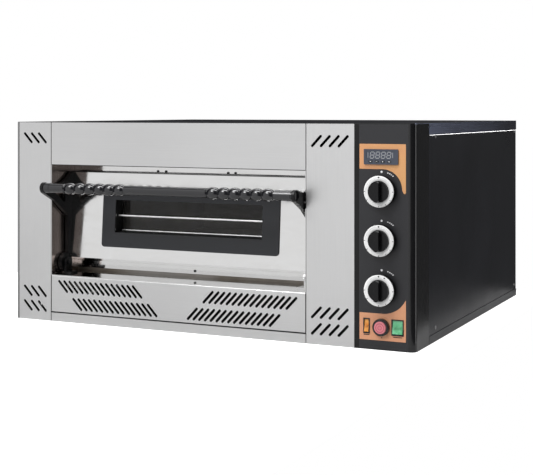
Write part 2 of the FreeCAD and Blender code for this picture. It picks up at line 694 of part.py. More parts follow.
# ---- door ----
FACE_T = SHEET / math.cos(math.radians(DOOR_LEAN))
PANE_X0 = WINDOW_X0 - 8.0
PANE_X1 = WINDOW_X1 + 8.0
PANE_Z0 = WINDOW_Z0 - 7.0
PANE_Z1 = WINDOW_Z1 + 7.0
BACK_SHEET_D = DOOR_BACK_D - SHEET
PANE_D = BACK_SHEET_D - GLASS_T
ROD_FRONT_D = 82.0
HUB_NOTCH = 0.6


def door_face_d(z):
    """Depth of the door's leaning front face at a height."""
    return DOOR_FOOT_D + (z - DOOR_Z0) * (DOOR_HEAD_D - DOOR_FOOT_D) / (DOOR_Z1 - DOOR_Z0)


def door_wedge(inset, back_d):
    """The door's wedge-shaped body, drawn in by a sheet's thickness on every edge."""
    z0 = DOOR_Z0 + inset
    z1 = DOOR_Z1 - inset
    shift = inset * FACE_T / SHEET
    return side_profile([(door_face_d(z0) + shift, z0), (door_face_d(z1) + shift, z1),
                         (back_d, z1), (back_d, z0)], DOOR_X0 + inset, DOOR_X1 - inset)


def hub_notches():
    """Room in the door's lower corners for the hubs of the handle arms."""
    width = ARM_X0 + ARM_T + 2 - DOOR_X0
    return [rod(x, HINGE_D, HINGE_Z, HUB_R + HUB_NOTCH, width + 4, AXIS_X)
            for x in (DOOR_X0 - 4, DOOR_X1 - width)]


def window_cut(d0, d1, grow=0.0):
    return box(WINDOW_X0 - grow, WINDOW_X1 + grow, d0, d1, WINDOW_Z0 - grow, WINDOW_Z1 + grow)


def door_front():
    """The polished outer skin, folded back on all four edges."""
    skin = door_wedge(0, BACK_SHEET_D).cut(door_wedge(SHEET, BACK_SHEET_D + 5))
    return skin.cut([lean(window_cut(DOOR_FOOT_D - 5, DOOR_FOOT_D + 5))] + hub_notches())


def door_back():
    """The inner sheet, with the window tunnel and the frame that clamps the pane at its inner end."""
    sheet = box(DOOR_X0, DOOR_X1, BACK_SHEET_D, DOOR_BACK_D, DOOR_Z0, DOOR_Z1)
    sleeve = window_cut(DOOR_FOOT_D, PANE_D, SHEET).common(door_wedge(SHEET, BACK_SHEET_D))
    flange = box(PANE_X0 - 2, PANE_X1 + 2, PANE_D - SHEET, BACK_SHEET_D, PANE_Z0 - 2, PANE_Z1 + 2)
    seat = box(PANE_X0 - 0.5, PANE_X1 + 0.5, PANE_D, BACK_SHEET_D, PANE_Z0 - 0.5, PANE_Z1 + 0.5)
    return join([sheet, sleeve, flange.cut(seat)]).cut([window_cut(50, 110)] + hub_notches())


def door_insulation():
    """The fibre filling between the door's two skins."""
    well = box(PANE_X0 - 2, PANE_X1 + 2, 50, 110, PANE_Z0 - 2, PANE_Z1 + 2)
    return door_wedge(SHEET, BACK_SHEET_D).cut([well] + hub_notches())


def window_bezel():
    """The charcoal frame round the window, on the face of the door."""
    plate = rounded_plate(BEZEL_X0, BEZEL_X1, DOOR_FOOT_D - BEZEL_T, DOOR_FOOT_D,
                          BEZEL_Z0, BEZEL_Z1, 8.0)
    return lean(plate.cut(window_cut(DOOR_FOOT_D - 10, DOOR_FOOT_D + 5)))


def window_glass():
    """The pane, clamped between the tunnel's flange and the inner sheet."""
    return box(PANE_X0, PANE_X1, PANE_D, BACK_SHEET_D, PANE_Z0, PANE_Z1)


def window_rods():
    """Two guard rods that cross the window tunnel in front of the pane."""
    length = WINDOW_X1 - WINDOW_X0
    return group([rod(WINDOW_X0, ROD_FRONT_D, 249, ROD_R, length, AXIS_X),
                  rod(WINDOW_X0, PANE_D - ROD_R - 0.5, 213, ROD_R, length, AXIS_X)])


def door_gasket():
    """The square-section seal that closes on the mouth plate."""
    d1 = DOOR_BACK_D + GASKET_T
    outer = box(CHAMBER_X0 - GASKET_W + 1, CHAMBER_X1 + GASKET_W - 1, DOOR_BACK_D, d1,
                DOOR_Z0 + 0.5, CEILING_Z + GASKET_W)
    inner = box(CHAMBER_X0 - 1, CHAMBER_X1 + 1, DOOR_BACK_D - 1, d1 + 1, DECK_Z - 0.5, CEILING_Z + 1)
    return outer.cut(inner).cut(hub_notches())


# ---- handle and hinges ----
def handle_bar():
    """The turned bar, with six rounded beads on each grip and a collar at both ends."""
    x1 = 2 * OPEN_MID - BAR_X0
    collar_x = ARM_X0 + ARM_T + 2.0
    half = BEAD_PITCH / 2
    grips = [LEFT_BEAD_X + i * BEAD_PITCH for i in range(BEAD_COUNT)]
    grips += [RIGHT_BEAD_X + i * BEAD_PITCH for i in range(BEAD_COUNT)]
    edges = []
    last = at(BAR_X0, BAR_D, BAR_Z)

    def line_to(x, radius):
        nonlocal last
        point = at(x, BAR_D, BAR_Z + radius)
        if (point - last).Length > 0.01:
            edges.append(Part.LineSegment(last, point).toShape())
        last = point

    def collar(start):
        for x, radius in ((start, BAR_R), (start + 0.5, COLLAR_R), (start + COLLAR_W - 0.5, COLLAR_R),
                          (start + COLLAR_W, BAR_R)):
            line_to(x, radius)

    line_to(BAR_X0, BAR_R)
    collar(collar_x)
    for x in grips:
        if (at(x - half, BAR_D, BAR_Z + BEAD_VALLEY_R) - last).Length > 0.01:
            line_to(x - half - 2, BAR_R)
            line_to(x - half, BEAD_VALLEY_R)
        crest = at(x, BAR_D, BAR_Z + BEAD_R)
        end = at(x + half, BAR_D, BAR_Z + BEAD_VALLEY_R)
        edges.append(Part.Arc(last, crest, end).toShape())
        last = end
        if x in (grips[BEAD_COUNT - 1], grips[-1]):
            line_to(x + half + 2, BAR_R)
    collar(2 * OPEN_MID - collar_x - COLLAR_W)
    line_to(x1, BAR_R)
    line_to(x1, 0)
    line_to(BAR_X0, 0)
    face = Part.Face(Part.Wire(edges))
    return face.revolve(at(0, BAR_D, BAR_Z), AXIS_X, 360)


def arm_outline(x):
    """Side outline of a handle arm: stem on the door, branch and crossbar to the eye, upper web."""
    stem_front = HINGE_D + 6
    eye_r = BAR_R + EYE_WALL
    apex_z = DOOR_Z1 + 2
    corners = [(stem_front, HINGE_Z), (stem_front, 247.5), (-2, 286), (BAR_D - 7, BAR_Z - 0.82 * eye_r),
               (BAR_D + 4, BAR_Z + 0.94 * eye_r), (-12, BAR_Z + 6), (4, BAR_Z + 2)]
    points = [at(x, d, z) for d, z in corners]
    apex = at(x, 70, apex_z)
    edges = [Part.LineSegment(a, b).toShape() for a, b in zip(points, points[1:])]
    edges.append(Part.Arc(points[-1], at(x, 42, BAR_Z + 15), apex).toShape())
    tail = [(70, apex_z), (door_face_d(DOOR_Z1), apex_z), (door_face_d(DOOR_Z1), DOOR_Z1),
            (door_face_d(HINGE_Z + 24), HINGE_Z + 24), (HINGE_D + 14, HINGE_Z), (stem_front, HINGE_Z)]
    points = [at(x, d, z) for d, z in tail]
    edges += [Part.LineSegment(a, b).toShape() for a, b in zip(points, points[1:])]
    return Part.Face(Part.Wire(edges))


def handle_arm(x):
    """A cast arm: hub on the hinge pin, stem bolted to the door, and an eye for the bar."""
    plate = arm_outline(x).extrude(V(ARM_T, 0, 0))
    hub = rod(x, HINGE_D, HINGE_Z, HUB_R, ARM_T, AXIS_X)
    eye = rod(x, BAR_D, BAR_Z, BAR_R + EYE_WALL, ARM_T, AXIS_X)
    eye = eye.makeChamfer(1.2, [e for e in eye.Edges if e.Length > 50 and e.Closed])
    hole = side_profile([(2, 303), (37, 279), (40, 282), (40, 304)], x - 1, x + ARM_T + 1)
    bar_bore = rod(x - 1, BAR_D, BAR_Z, BAR_R, ARM_T + 2, AXIS_X)
    pin_bore = rod(x - 1, HINGE_D, HINGE_Z, PIN_R + RUNNING, ARM_T + 2, AXIS_X)
    return join([plate, hub, eye]).cut([hole, bar_bore, pin_bore])


def hinge_bracket(inward):
    """A sill bracket with its ear and pin; inward is +1 on the left and -1 on the right."""
    hub_x = ARM_X0 + ARM_T if inward > 0 else 2 * OPEN_MID - ARM_X0 - ARM_T

    def span(a, b):
        ends = sorted((hub_x + inward * a, hub_x + inward * b))
        return ends[0], ends[1]

    x0, x1 = span(FIT, 22)
    base = box(x0, x1, HINGE_D - 14, HINGE_D + 14, SILL_Z, SILL_Z + 4)
    x0, x1 = span(FIT, 7)
    ear = join([box(x0, x1, HINGE_D - 12, HINGE_D + 12, SILL_Z, HINGE_Z),
                rod(x0, HINGE_D, HINGE_Z, 12.0, x1 - x0, AXIS_X)])
    x0, x1 = span(-ARM_T - 1.5, 12)
    pin = rod(x0, HINGE_D, HINGE_Z, PIN_R, x1 - x0, AXIS_X)
    x0, x1 = span(-ARM_T - 1.5, -ARM_T - FIT)
    head = rod(x0, HINGE_D, HINGE_Z, 10.0, x1 - x0, AXIS_X)
    return join([base, ear, pin, head])


def casing_screws():
    """Pan heads: four on each side of the casing, and smaller ones on the mouth plate."""
    heads = []
    for d in (142.0, 850.0):
        for z in (30.0, 443.0):
            heads.append(rod(0, d, z, 4.0, THIN, AXIS_X))
            heads.append(rod(WIDTH - THIN, d, z, 4.0, THIN, AXIS_X))
    for x in (326.0, 348.0, 513.0, 532.0, 716.0):
        heads.append(rod(x, RECESS_D - 1.5, 354.5, 3.0, 1.5, AXIS_Y))
    for x in (143.0, OPEN_MID + 1.5, 2 * OPEN_MID - 143.0):
        heads.append(rod(x, RECESS_D - 5.5, 124.0, 3.0, 1.5, AXIS_Y))
    return group(heads)


# ---- the whole oven, node by node ----
def build():
    save("base_pan", base_pan())
    save("corner_trim_left", corner_trim_left())
    save("side_panel_left", side_panel(THIN))
    save("side_panel_right", side_panel(WIDTH - 2 * THIN))
    save("back_panel", back_panel())
    save("top_cover", top_cover())
    save("front_stile_left", front_stile_left())
    save("front_stile_right", front_stile_right())
    save("lintel_panel", lintel_panel())
    save("lower_vent_panel", lower_vent_panel())
    save("recess_surround", recess_surround())
    save("mouth_plate", mouth_plate())
    save("casing_screws", casing_screws())

    save("chamber_liner", chamber_liner())
    save("stone_frame", stone_frame())
    save("deck_stone_left", deck_stone(CHAMBER_X0 + 0.5))
    save("deck_stone_right", deck_stone(OPEN_MID + 0.5))
    save("ceiling_plate", ceiling_plate())
    save("floor_burner", floor_burner())
    save("roof_burner", roof_burner())
    save("insulation_top_back", insulation_top_back())
    save("insulation_sides", insulation_sides())
    save("bay_wall", bay_wall())
    save("thermocouple", thermocouple())
    save("flue_spigot", flue_spigot())

    save("control_housing", control_housing())
    save("control_face", control_face())
    save("display_module", display_module())
    for i, x in enumerate(key_places()):
        save("display_key_%d" % (i + 1), display_key(x))
    for i, z in enumerate(KNOB_ZS):
        save("knob_%d" % (i + 1), knob(z))
    for i, z in enumerate(KNOB_ZS[:2]):
        save("tap_stem_%d" % (i + 1), tap_stem(z))
        save("gas_tap_%d" % (i + 1), tap_body(z, True))
    save("thermostat", thermostat())
    save("gas_manifold", gas_manifold())
    save("rocker_frames", group([rocker_frame(*switch) for switch in SWITCHES]))
    save("amber_rocker", rocker(*SWITCHES[0]))
    save("green_rocker", rocker(*SWITCHES[1]))
    save("push_button_ring", push_button_ring())
    save("push_button", push_button())
    save("gas_inlet", gas_inlet())
    save("cable_gland", cable_gland())

    save("door_front", door_front())
    save("door_back", door_back())
    save("door_insulation", door_insulation())
    save("window_bezel", window_bezel())
    save("window_glass", window_glass())
    save("window_rods", window_rods())
    save("door_gasket", door_gasket())
    save("handle_bar", handle_bar())
    save("handle_arm_left", handle_arm(ARM_X0))
    save("handle_arm_right", handle_arm(2 * OPEN_MID - ARM_X0 - ARM_T))
    save("hinge_brackets", group([hinge_bracket(1), hinge_bracket(-1)]))


build()
os.makedirs("parts", exist_ok=True)
for name, shape in PARTS.items():
    shape.exportStep("parts/%s.step" % name)
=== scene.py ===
"""Looks of the deck oven: a material for every CAD node, small details, studio and camera."""

import bmesh
import bpy
import math
from mathutils import Matrix, Vector


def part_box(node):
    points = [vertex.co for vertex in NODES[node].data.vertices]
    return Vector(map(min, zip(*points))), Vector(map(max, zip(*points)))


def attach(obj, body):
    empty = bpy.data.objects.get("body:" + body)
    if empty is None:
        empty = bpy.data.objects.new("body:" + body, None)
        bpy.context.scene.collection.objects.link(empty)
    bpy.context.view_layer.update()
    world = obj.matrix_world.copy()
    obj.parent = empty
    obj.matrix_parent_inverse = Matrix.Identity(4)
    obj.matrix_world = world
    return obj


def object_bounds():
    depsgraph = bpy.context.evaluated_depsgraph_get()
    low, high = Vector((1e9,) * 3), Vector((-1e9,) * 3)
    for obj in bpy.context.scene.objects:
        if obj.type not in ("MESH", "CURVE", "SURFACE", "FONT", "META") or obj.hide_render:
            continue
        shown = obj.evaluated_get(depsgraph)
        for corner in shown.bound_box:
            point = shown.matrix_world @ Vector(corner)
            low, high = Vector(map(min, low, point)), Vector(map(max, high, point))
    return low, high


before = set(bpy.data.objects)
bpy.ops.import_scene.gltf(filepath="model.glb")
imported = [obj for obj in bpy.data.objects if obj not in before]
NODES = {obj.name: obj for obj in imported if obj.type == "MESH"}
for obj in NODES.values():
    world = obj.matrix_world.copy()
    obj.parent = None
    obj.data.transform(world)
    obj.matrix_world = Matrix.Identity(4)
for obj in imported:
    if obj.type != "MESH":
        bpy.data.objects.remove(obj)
CAD_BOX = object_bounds()
LOW, HIGH = (Vector(corner) for corner in CAD_BOX)
MM = 0.001
FILM = 0.2 * MM  # label films and panel dots
PRINT = 0.12 * MM  # marks on the dials and in the display
THIN_PRINT = 0.1 * MM  # signs on the keys and dashes under the switches


# ---- places, all worked out from the frame ----
def low(node):
    """Lowest corner of a CAD node."""
    return Vector(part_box(node)[0])


def high(node):
    """Highest corner of a CAD node."""
    return Vector(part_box(node)[1])


def middle(node):
    """Centre of a CAD node's box."""
    return (low(node) + high(node)) / 2


FRONT_Y = low("control_face").y
FACE_X0 = low("control_face").x
FACE_X1 = high("control_face").x


# ---- shader helper ----
class Shade:
    """One material's node tree, with short calls to add nodes and set the shader's sockets."""

    def __init__(self, name):
        self.material = bpy.data.materials.new(name)
        self.material.use_nodes = True
        self.tree = self.material.node_tree
        self.bsdf = self.tree.nodes["Principled BSDF"]
        self.coordinates = self.tree.nodes.new("ShaderNodeTexCoord").outputs["Object"]

    def give(self, socket, value):
        """Links an output to a socket, or sets the socket's own value."""
        if isinstance(value, bpy.types.NodeSocket):
            self.tree.links.new(value, socket)
        else:
            socket.default_value = value

    def add(self, kind, inputs=(), **settings):
        """Adds a node, with settings as attributes and inputs as (name or number, value) pairs."""
        node = self.tree.nodes.new(kind)
        for key, value in settings.items():
            setattr(node, key, value)
        for key, value in inputs:
            self.give(node.inputs[key], value)
        return node

    def shader(self, **values):
        """Sets sockets of the main shader; underscores stand for spaces."""
        for key, value in values.items():
            self.give(self.bsdf.inputs[key.replace("_", " ")], value)

    def stretched(self, scale):
        """Object coordinates scaled per axis."""
        return self.add("ShaderNodeMapping", [("Vector", self.coordinates), ("Scale", scale)]).outputs[0]

    def noise(self, scale=(1, 1, 1), size=1.0, detail=3.0, rough=0.5, distortion=0.0):
        """Fractal noise between 0 and 1."""
        node = self.add("ShaderNodeTexNoise", [("Vector", self.stretched(scale)), ("Scale", size),
                                               ("Detail", detail), ("Roughness", rough),
                                               ("Distortion", distortion)])
        return node.outputs["Fac"]

    def span(self, value, low_out, high_out, low_in=0.3, high_in=0.7):
        """Maps a value from one range to another, clamped."""
        node = self.add("ShaderNodeMapRange", [("Value", value), ("From Min", low_in),
                                               ("From Max", high_in), ("To Min", low_out),
                                               ("To Max", high_out)])
        return node.outputs["Result"]

    def mix(self, factor, first, second, blend="MIX"):
        """Mixes two colours."""
        node = self.add("ShaderNodeMix", data_type="RGBA", blend_type=blend)
        self.give(node.inputs[0], factor)
        self.give(node.inputs[6], first)
        self.give(node.inputs[7], second)
        return node.outputs[2]

    def math(self, operation, first, second):
        """One arithmetic step."""
        return self.add("ShaderNodeMath", [(0, first), (1, second)], operation=operation).outputs[0]

    def bump(self, height, strength, distance):
        """Surface relief from a height."""
        node = self.add("ShaderNodeBump", [("Strength", strength), ("Distance", distance),
                                           ("Height", height)])
        return node.outputs["Normal"]


def grey(value):
    """An opaque neutral colour."""
    return (value, value, value, 1.0)


def tint(red, green, blue):
    """An opaque colour."""
    return (red, green, blue, 1.0)


# ---- metals ----
def brushed_steel(name, tone, grain, roughness=0.34):
    """Satin stainless with a fine one-way grain; grain is the axis letter that the brush ran along."""
    sh = Shade(name)
    across = {"x": (7, 60, 900), "y": (900, 7, 900), "z": (900, 60, 7)}[grain]
    fine = sh.noise(across, 1.0, 4.0, 0.65)
    broad = sh.noise((1, 1, 1), 2.2, 2.0, 0.4)
    cloud = sh.noise((1, 1, 1), 38.0, 3.0, 0.55)
    base = sh.mix(sh.span(broad, 0.0, 1.0), grey(tone * 0.95), grey(tone * 1.03))
    lines = sh.mix(sh.span(fine, 0.0, 1.0, 0.25, 0.75), grey(0.93), grey(1.0))
    sh.shader(Base_Color=sh.mix(1.0, base, lines, "MULTIPLY"), Metallic=1.0)
    smear = sh.span(cloud, roughness - 0.03, roughness + 0.05)
    sh.shader(Roughness=sh.math("ADD", smear, sh.span(fine, -0.04, 0.05)))
    sh.shader(Normal=sh.bump(fine, 0.10, 0.0002))
    return sh.material


def polished_steel(name, tone, roughness, grain="x"):
    """Bright rolled sheet: near mirror, with slight ripple, faint grain and wiping marks."""
    sh = Shade(name)
    across = {"x": (5, 5, 700), "z": (700, 5, 5)}[grain]
    ripple = sh.noise((1, 1, 1), 9.0, 1.0, 0.3)
    fine = sh.noise(across, 1.0, 3.0, 0.6)
    wipe = sh.noise((2, 2, 5), 6.0, 5.0, 0.6, 0.8)
    sh.shader(Base_Color=sh.mix(sh.span(wipe, 0.0, 1.0), tint(tone, tone, tone * 0.995),
                                tint(tone * 0.955, tone * 0.95, tone * 0.94)), Metallic=1.0)
    sh.shader(Roughness=sh.math("ADD", sh.span(wipe, roughness - 0.03, roughness + 0.06),
                                sh.span(fine, -0.02, 0.03)))
    first = sh.bump(ripple, 0.05, 0.004)
    node = sh.add("ShaderNodeBump", [("Strength", 0.05), ("Distance", 0.0002), ("Height", fine),
                                     ("Normal", first)])
    sh.shader(Normal=node.outputs["Normal"])
    return sh.material


def streaked_steel(name):
    """Heat-browned lining sheet with upright brushing streaks."""
    sh = Shade(name)
    streak = sh.noise((6, 130, 2), 1.0, 4.0, 0.7)
    cloud = sh.noise((1, 1, 1), 7.0, 4.0, 0.6)
    base = sh.mix(sh.span(streak, 0.0, 1.0, 0.3, 0.7), tint(0.54, 0.44, 0.40), tint(0.88, 0.75, 0.70))
    base = sh.mix(sh.span(cloud, 0.0, 0.45), base, tint(0.50, 0.41, 0.38))
    sh.shader(Base_Color=base, Metallic=1.0, Roughness=sh.span(streak, 0.10, 0.22))
    sh.shader(Normal=sh.bump(streak, 0.05, 0.0002))
    return sh.material


def stained_steel(name, tone):
    """Inner sheet coloured by heat: straw and brown clouds over dull steel."""
    sh = Shade(name)
    cloud = sh.noise((1, 1, 1), 5.0, 6.0, 0.6, 0.6)
    streak = sh.noise((1, 1, 9), 14.0, 4.0, 0.6)
    base = sh.mix(sh.span(cloud, 0.0, 1.0), tint(tone, tone * 0.97, tone * 0.92),
                  tint(tone * 0.72, tone * 0.60, tone * 0.46))
    base = sh.mix(sh.span(streak, 0.0, 0.35), base, tint(tone * 0.45, tone * 0.42, tone * 0.40))
    sh.shader(Base_Color=base, Metallic=0.85, Roughness=sh.span(cloud, 0.38, 0.62))
    sh.shader(Normal=sh.bump(streak, 0.15, 0.0005))
    return sh.material


def plain_steel(name, tone=0.5):
    """Zinc-coated sheet with its faint crystal pattern."""
    sh = Shade(name)
    cells = sh.add("ShaderNodeTexVoronoi", [("Vector", sh.coordinates), ("Scale", 90.0)])
    spread = sh.span(cells.outputs["Distance"], 0.0, 1.0, 0.0, 0.7)
    sh.shader(Base_Color=sh.mix(spread, grey(tone * 1.06), grey(tone * 0.92)), Metallic=1.0)
    sh.shader(Roughness=sh.span(sh.noise((1, 1, 1), 30.0, 4.0), 0.34, 0.5))
    return sh.material


def painted_reflection_sheet(name):
    """Cover sheet, dull and faintly rolled, with a painted bluish reflection that darkens from its front
    edge to its back edge.
    """
    sh = Shade(name)
    lines = sh.noise((4, 4, 300), 1.0, 3.0, 0.5)
    cloud = sh.noise((1, 1, 1), 7.0, 4.0, 0.6)
    depth = sh.add("ShaderNodeSeparateXYZ", [("Vector", sh.coordinates)]).outputs["Y"]
    # painted reflection: bluish tones at the front that fade with depth to a dark tint at the back
    front = sh.mix(sh.span(cloud, 0.0, 1.0), tint(0.46, 0.51, 0.72), tint(0.34, 0.38, 0.55))
    sh.shader(Base_Color=sh.mix(sh.span(depth, 0.0, 1.0, -0.40, 0.35), front, tint(0.07, 0.075, 0.11)),
              Metallic=0.85, Roughness=sh.span(lines, 0.24, 0.34))
    sh.shader(Normal=sh.bump(cloud, 0.06, 0.002))
    return sh.material


def brass(name):
    """Tarnished brass."""
    sh = Shade(name)
    cloud = sh.noise((1, 1, 1), 60.0, 4.0, 0.6)
    sh.shader(Base_Color=sh.mix(sh.span(cloud, 0.0, 1.0), tint(0.80, 0.60, 0.28), tint(0.60, 0.42, 0.18)),
              Metallic=1.0, Roughness=sh.span(cloud, 0.22, 0.42))
    return sh.material


# ---- paints, castings and plastics ----
def powder_coat(name, colour, roughness, peel):
    """Baked paint: orange-peel relief, fine speckle and a thin uneven sheen."""
    sh = Shade(name)
    skin = sh.noise((1, 1, 1), 420.0, 2.0, 0.5)
    broad = sh.noise((1, 1, 1), 4.0, 4.0, 0.6)
    deep = tuple(c * 0.8 for c in colour) + (1.0,)
    pale = tuple(c * 1.25 for c in colour) + (1.0,)
    sh.shader(Base_Color=sh.mix(sh.span(broad, 0.0, 1.0), deep, pale))
    sh.shader(Roughness=sh.span(broad, roughness - 0.05, roughness + 0.07))
    sh.shader(Normal=sh.bump(skin, peel, 0.0004), Specular_IOR_Level=0.5)
    return sh.material


def cast_enamel(name, colour):
    """Black enamelled casting: soft lumps under a thin sheen."""
    sh = Shade(name)
    lumps = sh.noise((1, 1, 1), 130.0, 3.0, 0.5)
    fine = sh.noise((1, 1, 1), 700.0, 2.0, 0.5)
    sh.shader(Base_Color=sh.mix(sh.span(lumps, 0.0, 1.0), colour + (1.0,),
                                tuple(c * 1.6 for c in colour) + (1.0,)))
    sh.shader(Roughness=sh.span(fine, 0.22, 0.34), Specular_IOR_Level=0.30)
    sh.shader(Normal=sh.bump(lumps, 0.25, 0.0006))
    return sh.material


def moulded(name, colour, roughness, grain, coat=0.0, sheen=0.5):
    """Moulded plastic with a very fine surface texture."""
    sh = Shade(name)
    skin = sh.noise((1, 1, 1), 900.0, 2.0, 0.5)
    broad = sh.noise((1, 1, 1), 25.0, 3.0, 0.5)
    sh.shader(Base_Color=sh.mix(sh.span(broad, 0.0, 1.0), tuple(c * 0.93 for c in colour) + (1.0,),
                                tuple(min(1.0, c * 1.06) for c in colour) + (1.0,)))
    sh.shader(Roughness=sh.span(broad, roughness - 0.04, roughness + 0.05))
    sh.shader(Normal=sh.bump(skin, grain, 0.0002), Coat_Weight=coat, Coat_Roughness=0.05)
    sh.shader(Specular_IOR_Level=sheen)
    return sh.material


def printed_film(name, first, second):
    """Coloured label film: a slight cast from edge to edge, tiny print speckle and a soft sheen."""
    sh = Shade(name)
    speckle = sh.noise((1, 1, 1), 650.0, 2.0, 0.6)
    cast = sh.noise((1, 1, 1), 16.0, 2.0, 0.5)
    base = sh.mix(sh.span(cast, 0.0, 1.0), first, second)
    sh.shader(Base_Color=sh.mix(sh.span(speckle, 0.0, 0.12), base, grey(0.9)), Roughness=0.42)
    sh.shader(Normal=sh.bump(speckle, 0.06, 0.0001))
    return sh.material


def lamp_plastic(name, colour, glow):
    """Translucent switch cap: tinted body, moulded haze and a clear gloss."""
    sh = Shade(name)
    haze = sh.noise((1, 1, 1), 90.0, 3.0, 0.5)
    sh.shader(Base_Color=sh.mix(sh.span(haze, 0.0, 1.0), colour, glow), Roughness=0.22)
    sh.shader(Coat_Weight=0.6, Coat_Roughness=0.05, Subsurface_Weight=0.15, Subsurface_Radius=(0.004,) * 3)
    sh.shader(Normal=sh.bump(haze, 0.05, 0.0005))
    return sh.material


def pane_glass(name, alpha, tone):
    """Heat-tinted pane with faint baked-on haze."""
    sh = Shade(name)
    haze = sh.noise((1, 1, 3), 12.0, 5.0, 0.6, 0.4)
    baked = tint(tone * 1.6, tone * 1.5, tone * 1.35)
    sh.shader(Base_Color=sh.mix(sh.span(haze, 0.0, 1.0), grey(tone), baked))
    sh.shader(Roughness=sh.span(haze, 0.02, 0.07), IOR=1.5, Alpha=sh.span(haze, alpha, alpha + 0.08))
    sh.material.surface_render_method = "BLENDED"
    return sh.material


def fireclay(name):
    """Pale baking stone with sand grains, pits and scorch clouds."""
    sh = Shade(name)
    sand = sh.noise((1, 1, 1), 500.0, 4.0, 0.7)
    scorch = sh.noise((1, 1, 1), 7.0, 5.0, 0.6, 0.5)
    base = sh.mix(sh.span(sand, 0.0, 1.0), tint(0.62, 0.54, 0.42), tint(0.48, 0.40, 0.30))
    sh.shader(Base_Color=sh.mix(sh.span(scorch, 0.0, 0.6, 0.5, 0.8), base, tint(0.16, 0.11, 0.07)),
              Roughness=0.92, Normal=sh.bump(sand, 0.5, 0.001))
    return sh.material


def fibre(name):
    """White mineral wool."""
    sh = Shade(name)
    tangle = sh.noise((1, 1, 1), 160.0, 8.0, 0.7, 1.5)
    sh.shader(Base_Color=sh.mix(sh.span(tangle, 0.0, 1.0), tint(0.80, 0.77, 0.70), tint(0.62, 0.58, 0.50)),
              Roughness=1.0, Normal=sh.bump(tangle, 0.8, 0.004))
    return sh.material


def rubber(name):
    """Dull black seal rubber."""
    sh = Shade(name)
    skin = sh.noise((1, 1, 1), 300.0, 4.0, 0.6)
    sh.shader(Base_Color=sh.mix(sh.span(skin, 0.0, 1.0), grey(0.02), grey(0.045)), Roughness=0.7,
              Normal=sh.bump(skin, 0.3, 0.0004))
    return sh.material


# ---- mesh helpers ----
def own(name, mesh, finish, body):
    """Makes a finished piece of a mesh: its finish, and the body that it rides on."""
    piece = bpy.data.objects.new(name, mesh)
    bpy.context.scene.collection.objects.link(piece)
    mesh.materials.clear()
    mesh.materials.append(MATERIALS[finish])
    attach(piece, body)


def smooth(mesh, angle=35.0):
    """Smooth shading that keeps edges sharper than an angle."""
    mesh.shade_smooth()
    limit = math.radians(angle)
    edges = bmesh.new()
    edges.from_mesh(mesh)
    for edge in edges.edges:
        edge.smooth = len(edge.link_faces) == 2 and edge.calc_face_angle(0.0) < limit
    edges.to_mesh(mesh)
    edges.free()
    return mesh


def arc(centre_x, centre_z, radius, start, end, steps=24):
    """Points along an arc seen from the front, angles in degrees from +X towards +Z."""
    turn = [math.radians(start + (end - start) * i / steps) for i in range(steps + 1)]
    return [(centre_x + radius * math.cos(a), centre_z + radius * math.sin(a)) for a in turn]


def rectangle(x0, x1, z0, z1):
    """An upright rectangle's corners, as seen from the front."""
    return [(x0, z0), (x1, z0), (x1, z1), (x0, z1)]


def slab(name, loops, back_y, thickness):
    """A flat plate facing the user from closed (x, z) loops; inner loops become holes."""
    curve = bpy.data.curves.new(name, "CURVE")
    curve.dimensions = "2D"
    curve.fill_mode = "BOTH"
    curve.extrude = thickness / 2
    for loop in loops:
        spline = curve.splines.new("POLY")
        spline.points.add(len(loop) - 1)
        for point, (x, z) in zip(spline.points, loop):
            point.co = (x, z, 0.0, 1.0)
        spline.use_cyclic_u = True
    carrier = bpy.data.objects.new(name, curve)
    bpy.context.scene.collection.objects.link(carrier)
    bpy.context.view_layer.update()
    mesh = bpy.data.meshes.new_from_object(carrier)
    bpy.data.objects.remove(carrier)
    stand_up = Matrix.Rotation(math.radians(90), 4, "X")
    mesh.transform(Matrix.Translation((0, back_y - thickness / 2, 0)) @ stand_up)
    mesh.name = name
    return mesh


def printed(name, loops, back_y, thickness, finish, body):
    """A finished flat piece from closed (x, z) loops."""
    own(name, slab(name, loops, back_y, thickness), finish, body)


def turned(name, profile, centre, segments, closed=True):
    """A turned shape about the depth axis, from (radius, depth) pairs in mm; negative is forward."""
    shape = bmesh.new()
    rings = []
    for radius, depth in ((r * MM, d * MM) for r, d in profile):
        if radius < 1e-7:
            rings.append([shape.verts.new((centre.x, centre.y + depth, centre.z))])
            continue
        turn = [2 * math.pi * i / segments for i in range(segments)]
        rings.append([shape.verts.new((centre.x + radius * math.cos(a), centre.y + depth,
                                       centre.z + radius * math.sin(a))) for a in turn])
    pairs = list(zip(rings, rings[1:]))
    if closed:
        pairs.append((rings[-1], rings[0]))
    for first, second in pairs:
        for i in range(segments):
            j = (i + 1) % segments
            corners = [first[i % len(first)], first[j % len(first)], second[j % len(second)],
                       second[i % len(second)]]
            corners = list(dict.fromkeys(corners))
            if len(corners) > 2:
                shape.faces.new(corners)
    bmesh.ops.recalc_face_normals(shape, faces=shape.faces)
    mesh = bpy.data.meshes.new(name)
    shape.to_mesh(mesh)
    shape.free()
    return smooth(mesh)


def strip(name, low_corner, high_corner, lean=0.0):
    """A square-edged bar between two corners; lean shears its top back."""
    shape = bmesh.new()
    corners = []
    for x in (low_corner[0], high_corner[0]):
        for y in (low_corner[1], high_corner[1]):
            for z in (low_corner[2], high_corner[2]):
                shift = lean if z == high_corner[2] else 0.0
                corners.append(shape.verts.new((x, y + shift, z)))
    for face in ((0, 1, 3, 2), (4, 6, 7, 5), (0, 4, 5, 1), (2, 3, 7, 6), (0, 2, 6, 4), (1, 5, 7, 3)):
        shape.faces.new([corners[i] for i in face])
    bmesh.ops.recalc_face_normals(shape, faces=shape.faces)
    mesh = bpy.data.meshes.new(name)
    shape.to_mesh(mesh)
    shape.free()
    return mesh


